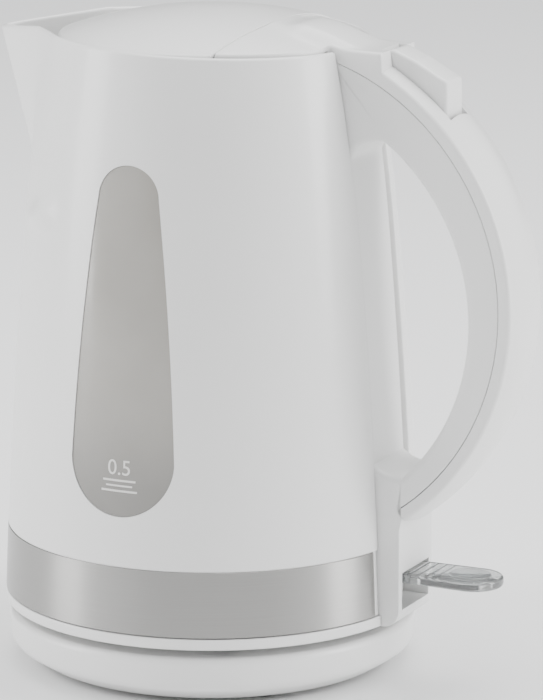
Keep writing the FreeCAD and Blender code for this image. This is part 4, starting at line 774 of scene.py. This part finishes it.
def arc_points(centre_x, centre_z, radius, first, last, count):
    """Points on an arc from the first angle to the last, in degrees."""
    turn = np.radians(np.linspace(first, last, count))
    return np.column_stack([centre_x + radius * np.cos(turn), centre_z + radius * np.sin(turn)])


def arc_between(start, end, radius, count):
    """Points of an arc from start to end that turns clockwise seen from -Y: its centre lies to
    the right of the chord, square to its middle."""
    start, end = np.array(start), np.array(end)
    chord = end - start
    square = np.array([chord[1], -chord[0]]) / np.linalg.norm(chord)
    centre = (start + end) / 2 + square * math.sqrt(radius**2 - (chord @ chord) / 4)
    first = math.degrees(math.atan2(*(start - centre)[::-1]))
    last = math.degrees(math.atan2(*(end - centre)[::-1]))
    return arc_points(*centre, radius, first, first - (first - last) % 360, count)


GAP_HIGH, GAP_LOW = ARCH_Z + 50, ARCH_Z - 56
GAP_HIGH_X, GAP_LOW_X = WAIST[0] + 6, WAIST[0] + 14
GAP_HIGH_ROUND, GAP_LOW_ROUND = 11.0, 15.0


def gap_outline():
    """The opening the hand goes through, as a loop: up the spine, round the upper fillet, down
    the arch and round the lower fillet."""
    z = np.linspace(GAP_LOW, GAP_HIGH, 40)
    spine = np.column_stack([spine_face(z, SPINE_RECESS), z])
    high = (GAP_HIGH_X, INNER_Z + math.sqrt(ARCH_INNER**2 - (GAP_HIGH_X - ARCH_X) ** 2))
    low = (GAP_LOW_X, INNER_Z - math.sqrt(ARCH_INNER**2 - (GAP_LOW_X - ARCH_X) ** 2))
    return np.concatenate([
        spine[:-1], arc_between(spine[-1], high, GAP_HIGH_ROUND, 18)[:-1],
        arc_between(high, low, ARCH_INNER, 90)[:-1],
        arc_between(low, spine[0], GAP_LOW_ROUND, 20)[:-1]])


def moulding_outline():
    """The inner moulding's outer edge, point for point with the opening: the spine's back in the
    channel, the seam's arc and the switch column."""
    seam = ARCH_SEAM - 0.15
    foot_turn = STRIP_FOOT
    spine = 39
    top = 17
    arch = 89
    low = 19
    top_turn = math.degrees(math.acos((RIM[0] - CHANNEL_DEEP + 1.4 - ARCH_X) / seam))
    start = ARCH_X + seam * math.cos(math.radians(top_turn))
    start_z = ARCH_Z + seam * math.sin(math.radians(top_turn))
    z = np.linspace(50.0, start_z - 0.3, spine)
    back = np.column_stack([spine_face(z, 4.4), z])
    over = np.column_stack([np.linspace(back[-1, 0], start, top + 1)[:-1], np.full(top, start_z)])
    outer = arc_points(ARCH_X, ARCH_Z, seam, top_turn, foot_turn, arch + 1)[:-1]
    foot = ARCH_X + (ARCH_OUTER - 1.4) * math.cos(math.radians(foot_turn))
    foot_z = ARCH_Z + (ARCH_OUTER - 1.4) * math.sin(math.radians(foot_turn))
    seam_foot = arc_points(ARCH_X, ARCH_Z, seam, foot_turn, foot_turn, 1)
    column = np.concatenate([
        seam_foot, [(foot, foot_z)], [(COLUMN_BACK, 57.0)], [(COLUMN_BACK, 44.0)], [(COLUMN_BACK, 28.0)],
        arc_points(COLUMN_BACK - 6, 28.0, 6.0, 0, -90, 8), [(70.0, 22.0)], [(67.5, 22.0)],
        [(67.5, 30.0)], [(67.5, 40.0)], [(67.5, 49.7)], [(68.5, 49.9)]])
    return back, over, outer, column


def normals(loop):
    """Unit normals of a closed loop that runs clockwise seen from -Y, pointing to its right."""
    along = np.roll(loop, -1, axis=0) - np.roll(loop, 1, axis=0)
    square = np.column_stack([along[:, 1], -along[:, 0]])
    return square / np.linalg.norm(square, axis=1)[:, None]


def frame_points(inner, outer, inner_round, outer_round, half, sign=-1.0):
    """A flat frame with rounded edges: at each step a loop goes round the bar between the inner
    and the outer outline, with a quarter circle at each of its four corners."""
    to_hole, to_bar = normals(inner), normals(outer)
    turn = np.linspace(0, math.pi / 2, 6)
    inner_round = np.broadcast_to(np.asarray(inner_round, float), (len(inner),))[:, None]
    outer_round = np.broadcast_to(np.asarray(outer_round, float), (len(outer),))[:, None]
    inner_in = inner_round * (1 - np.sin(turn))[None, :]
    inner_y = half - inner_round * (1 - np.cos(turn))[None, :]
    outer_in = outer_round * (1 - np.sin(turn))[None, :]
    outer_y = half - outer_round * (1 - np.cos(turn))[None, :]

    def ring(base, normal, shift, y):
        spot = base[:, None, :] + normal[:, None, :] * shift[:, :, None]
        return np.stack([spot[:, :, 0], y, spot[:, :, 1]], axis=-1)

    parts = [ring(inner, to_hole, -inner_in, inner_y), ring(inner, to_hole, -inner_in[:, ::-1], -inner_y[:, ::-1]),
             ring(outer, to_bar, outer_in, -outer_y), ring(outer, to_bar, outer_in[:, ::-1], outer_y[:, ::-1])]
    return np.concatenate(parts, axis=1)


hole = gap_outline()
back, over, outer, column = moulding_outline()


def resampled(loop, count):
    """A closed loop at evenly spaced points, starting from the same point."""
    closed = np.concatenate([loop, loop[:1]])
    along = np.concatenate([[0], np.cumsum(np.linalg.norm(np.diff(closed, axis=0), axis=1))])
    wanted = np.linspace(0, along[-1], count, endpoint=False)
    return np.column_stack([np.interp(wanted, along, closed[:, 0]), np.interp(wanted, along, closed[:, 1])])


def matched(inner_parts, outer_parts, counts):
    """Pairs of stretches of two outlines, each pair resampled to the same number of points."""
    inner_out, outer_out = [], []
    for one, two, count in zip(inner_parts, outer_parts, counts):
        for stretch, target in ((one, inner_out), (two, outer_out)):
            along = np.concatenate([[0], np.cumsum(np.linalg.norm(np.diff(stretch, axis=0), axis=1))])
            wanted = np.linspace(0, along[-1], count, endpoint=False)
            target.append(np.column_stack([np.interp(wanted, along, stretch[:, 0]),
                                           np.interp(wanted, along, stretch[:, 1])]))
    return np.concatenate(inner_out), np.concatenate(outer_out)


spine_part, top_part, arch_part, low_part = hole[:40], hole[39:57], hole[56:146], np.concatenate([hole[145:], hole[:1]])
inner_loop, outer_loop = matched(
    [spine_part, top_part, arch_part, low_part],
    [back, np.concatenate([back[-1:], over, outer[:1]]), np.concatenate([outer, column[:1]]),
     np.concatenate([column, back[:1]])],
    [60, 24, 140, 90])
inner_moulding = skin("handle_inner_moulding",
                      frame_points(inner_loop, outer_loop, 2.4, 0.35, HANDLE_HALF), join_rows=True)
SLOT_HALF, SLOT_LOW, SLOT_HIGH = 11.3, 28.0, 41.3
cut_away(inner_moulding, block("lever_slot", (69.0, -SLOT_HALF, SLOT_LOW), (90, SLOT_HALF, SLOT_HIGH)))
finish(inner_moulding, white_plastic, "jug", "white_plastic", "handle_inner")


# ---------------------------------------------------------------- release button
# The thumb wedge on top of the handle, a white moulding that rises to the rear and turns on a
# pin at its front.  All its edges are rounded for the thumb.

def slab_points(outline_xz, half, edge):
    """A flat slab with rounded edges from a side outline: rings of the outline, drawn in by the
    rounding at both faces and closed to its middle."""
    inward = normals(outline_xz)
    middle = outline_xz.mean(axis=0)
    turn = np.linspace(0, math.pi / 2, 6)
    shifts = np.concatenate([edge * (1 - np.sin(turn)), edge * (1 - np.sin(turn[::-1]))])
    y = np.concatenate([-half + edge * (1 - np.cos(turn)), half - edge * (1 - np.cos(turn[::-1]))])
    rows = [np.column_stack([np.full(len(outline_xz), middle[0]), np.full(len(outline_xz), -half),
                             np.full(len(outline_xz), middle[1])])]
    for shift, level in zip(shifts, y):
        spot = outline_xz + inward * shift
        rows.append(np.column_stack([spot[:, 0], np.full(len(spot), level), spot[:, 1]]))
    rows.append(np.column_stack([np.full(len(outline_xz), middle[0]), np.full(len(outline_xz), half),
                                 np.full(len(outline_xz), middle[1])]))
    return np.array(rows)


button_corners = [(68.6, 221.4), (71.5, 223.6), (80.5, 219.9), (89.5, 214.9), (92.3, 213.6), (92.4, 199.0),
                  (90.0, 200.0), (77.0, 208.0), (72.0, 206.2), (68.9, 208.4)]
button_rounds = [1.6, 3.0, 12.0, 8.0, 1.8, 0.8, 0.8, 1.0, 1.5, 1.0]
button_side = resampled(rounded(button_corners, button_rounds, steps=8), 140)
button = skin("thumb_button", slab_points(button_side, float(button_high[1]), 1.5), sharp=50)
finish(button, white_plastic, "button", "white_plastic", "release_button")


# ---------------------------------------------------------------- switch lever
# The clear polycarbonate switch lever: a blade with a round end, a raised oval pad, and ribs
# across its root that show through, on a hub in the column.

lever_low, lever_high = corners("switch_lever")
LEVER_TIP, LEVER_HALF, LEVER_X = float(lever_high[0]), 10.4, 73.4
LEVER_Z, LEVER_WALL = 39.0, 3.8


def clear_polycarbonate():
    """Clear polycarbonate, polished: nearly free of colour, with the faint ripple of a moulded
    optical part."""
    material, shader, place = start_material("clear_polycarbonate_polished", Roughness=0.05, IOR=1.585,
                                             Base_Color=linear("#F4F6F6"))
    shader.inputs["Transmission Weight"].default_value = 0.92
    ripple = add(material, "ShaderNodeTexNoise", [(place, "Object", "Vector")], Scale=260.0, Detail=2.0)
    relief = add(material, "ShaderNodeBump", [(ripple, "Fac", "Height")], Strength=0.35, Distance=0.0003)
    rough = add(material, "ShaderNodeMapRange", [(ripple, "Fac", "Value")], To_Min=0.03, To_Max=0.10)
    links = material.node_tree.links
    links.new(relief.outputs["Normal"], shader.inputs["Normal"])
    links.new(rough.outputs["Result"], shader.inputs["Roughness"])
    return material


def flat_slab(name, outline_xy, low, high, edge):
    """A level slab with rounded edges from a plan outline."""
    rows = slab_points(outline_xy, (high - low) / 2, edge)
    turned_up = np.stack([rows[:, :, 0], rows[:, :, 2], rows[:, :, 1] + (low + high) / 2], axis=-1)
    return skin(name, turned_up, sharp=45)


tip_arc = arc_points(LEVER_TIP - LEVER_HALF, 0, LEVER_HALF, 88, -88, 40)
blade_outline = resampled(np.concatenate([[(LEVER_X - 2, LEVER_HALF - 0.9)], tip_arc,
                                          [(LEVER_X - 2, -LEVER_HALF + 0.9)]]), 180)
blade = flat_slab("blade", blade_outline, LEVER_Z - LEVER_WALL / 2, LEVER_Z + LEVER_WALL / 2 - 0.4, 1.0)
pad_outline = arc_points(LEVER_TIP - LEVER_HALF - 1.5, 0, 7.6, 180, -180, 72)[:-1] * [1, 0.92]
pad = flat_slab("pad", pad_outline, LEVER_Z, LEVER_Z + LEVER_WALL / 2, 0.6)
lever_parts = [blade, pad]
for number, x in enumerate(np.linspace(80.5, 90.0, 4)):
    lever_parts.append(rod(f"rib_{number}", (x, -8.2, LEVER_Z + LEVER_WALL / 2 - 0.9),
                           (x, 8.2, LEVER_Z + LEVER_WALL / 2 - 0.9), 0.8, 20))
lever_parts.append(rod("hub", (LEVER_X, -9.4, LEVER_Z), (LEVER_X, 9.4, LEVER_Z), 3.4, 40))
lever = joined("lever_blade", lever_parts)
clear_plastic = clear_polycarbonate()
finish(lever, clear_plastic, "lever", "clear_plastic", "switch_lever")


# ---------------------------------------------------------------- pieces shown as designed
# Small and inner pieces keep their designed shape and get the finish of what they are made of.

def rolled_metal(name, colour, roughness, line_mm=0.4):
    """Sheet or wire metal with the fine, uneven sheen of rolling or drawing."""
    material, shader, place = start_material(name, Metallic=1.0)
    grain = add(material, "ShaderNodeTexNoise", [(place, "Object", "Vector")], Scale=1 / (line_mm * MM), Detail=3.0)
    rough = add(material, "ShaderNodeMapRange", [(grain, "Fac", "Value")],
                To_Min=roughness * 0.75, To_Max=roughness * 1.3)
    tint = add(material, "ShaderNodeMapRange", [(grain, "Fac", "Value")], To_Min=0.88, To_Max=1.0)
    shade = add(material, "ShaderNodeMixRGB", [(tint, "Result", "Color2")], blend_type="MULTIPLY",
                Fac=1.0, Color1=linear(colour))
    links = material.node_tree.links
    links.new(shade.outputs["Color"], shader.inputs["Base Color"])
    links.new(rough.outputs["Result"], shader.inputs["Roughness"])
    return material


FINISHES = {
    "white_plastic": white_plastic,
    "white_plastic_matt": moulded_plastic("white_polypropylene_spark_eroded_tool", "#E4E4E2", 0.55),
    "black_plastic": moulded_plastic("black_glass_filled_nylon_moulded", "#1B1B1D", 0.5),
    "smoke_window": smoky_pane,
    "clear_plastic": clear_plastic,
    "rubber_foot": moulded_plastic("dark_rubber_moulded", "#2A2A2A", 0.75),
    "silicone": moulded_plastic("white_silicone_moulded", "#D9D7D0", 0.5),
    "brass_contact": rolled_metal("brass_strip_rolled", "#C9A55B", 0.3),
    "steel_plate": rolled_metal("stainless_sheet_rolled", "#BDBDBC", 0.32),
    "aluminium_spreader": rolled_metal("aluminium_sheet_rolled", "#CFCFD1", 0.4),
    "bimetal": rolled_metal("bimetal_strip_rolled", "#B59A72", 0.4),
    "steel_small": rolled_metal("steel_wire_zinc_plated", "#B4B6B9", 0.3),
    "lamp_glass": clear_plastic,
    "lead_insulation": moulded_plastic("red_silicone_insulation_extruded", "#A83A30", 0.5),
}
slot_of = {entry["node"]: entry["material_slot"] for entry in frame["record"]["subparts"]}
for name, node in nodes.items():
    if slot_of[name] in FINISHES:
        for place in node.material_slots:
            place.material = FINISHES[slot_of[name]]


# ---------------------------------------------------------------- floor, light and camera
# A plain pale floor, soft studio light, and the camera where the kettle was seen from: 26 degrees to the right of its
# side, 13 degrees above it.

def studio_floor():
    """A level floor a few metres across with a faint mottle."""
    span = np.array([-6000.0, 6000.0])
    points = np.array([[(x, y, 0.0) for y in span] for x in span])
    floor = skin("floor", points, join_columns=False)
    material, shader, place = start_material("matt_white_paper", Roughness=0.9)
    mottle = add(material, "ShaderNodeTexNoise", [(place, "Object", "Vector")], Scale=3.0)
    tint = add(material, "ShaderNodeMixRGB", [(mottle, "Fac", "Fac")],
               Color1=linear("#F2F2F2"), Color2=linear("#EFEFEF"))
    material.node_tree.links.new(tint.outputs["Color"], shader.inputs["Base Color"])
    floor.data.materials.append(material)


def soft_light(name, place, aim, width, height, power):
    """A rectangular soft box at a place in metres, turned to face the aim."""
    light = bpy.data.lights.new(name, "AREA")
    light.shape = "RECTANGLE"
    light.size, light.size_y, light.energy = width, height, power
    lamp = bpy.data.objects.new(name, light)
    bpy.context.scene.collection.objects.link(lamp)
    way = np.array(aim) - np.array(place)
    side_turn = math.atan2(way[1], way[0]) - math.pi / 2
    tilt = math.atan2(math.hypot(way[0], way[1]), -way[2])
    lamp.location = place
    lamp.rotation_euler = (tilt, 0, side_turn)


studio_floor()


def studio_room(front_level, side_level):
    """The room as light: dim behind the camera and behind the object, bright on both sides and
    above, so that round pieces are shaded from edge to middle."""
    world = bpy.data.worlds.new("studio")
    world.use_nodes = True
    way = add(world, "ShaderNodeTexCoord")
    across = add(world, "ShaderNodeVectorMath", [(way, "Generated", 0)], operation="DOT_PRODUCT")
    across.inputs[1].default_value = (math.cos(AZIMUTH), math.sin(AZIMUTH), 0)
    aside = add(world, "ShaderNodeMath", [(across, "Value", 0)], operation="ABSOLUTE")
    side = add(world, "ShaderNodeMapRange", [(aside, "Value", "Value")], From_Min=0.45, From_Max=0.95,
               To_Min=front_level, To_Max=side_level, interpolation_type="SMOOTHSTEP")
    split = add(world, "ShaderNodeSeparateXYZ", [(way, "Generated", "Vector")])
    above = add(world, "ShaderNodeMapRange", [(split, "Z", "Value")], From_Min=0.25, From_Max=0.9,
                To_Min=0.0, To_Max=side_level, interpolation_type="SMOOTHSTEP")
    level = add(world, "ShaderNodeMath", [(side, "Result", 0), (above, "Result", 1)], operation="MAXIMUM")
    backdrop = world.node_tree.nodes["Background"]
    backdrop.inputs["Color"].default_value = linear("#F7F8F9")
    world.node_tree.links.new(level.outputs["Value"], backdrop.inputs["Strength"])
    bpy.context.scene.world = world


AZIMUTH, ELEVATION, DISTANCE = math.radians(26), math.radians(12.97), 1.5
studio_room(0.02, 1.6)
middle = (0.0, 0.0, 0.12)
soft_light("left_box", (-1.3, -0.8, 0.6), middle, 0.6, 1.4, 20)
soft_light("right_box", (1.5, 0.3, 0.6), middle, 0.5, 1.4, 22)
soft_light("top_box", (0.1, 0.3, 1.6), middle, 1.4, 1.4, 22)

AIM = np.array([math.cos(AZIMUTH) * 0.0208, math.sin(AZIMUTH) * 0.0208, 0.1103])
away = np.array([math.sin(AZIMUTH) * math.cos(ELEVATION), -math.cos(AZIMUTH) * math.cos(ELEVATION),
                 math.sin(ELEVATION)])
lens = bpy.data.cameras.new("camera")
lens.sensor_width = 36.0
lens.lens = 218.6
camera = bpy.data.objects.new("camera", lens)
bpy.context.scene.collection.objects.link(camera)
camera.location = AIM + away * DISTANCE
camera.rotation_euler = (math.pi / 2 - ELEVATION, 0, AZIMUTH)
bpy.context.scene.camera = camera
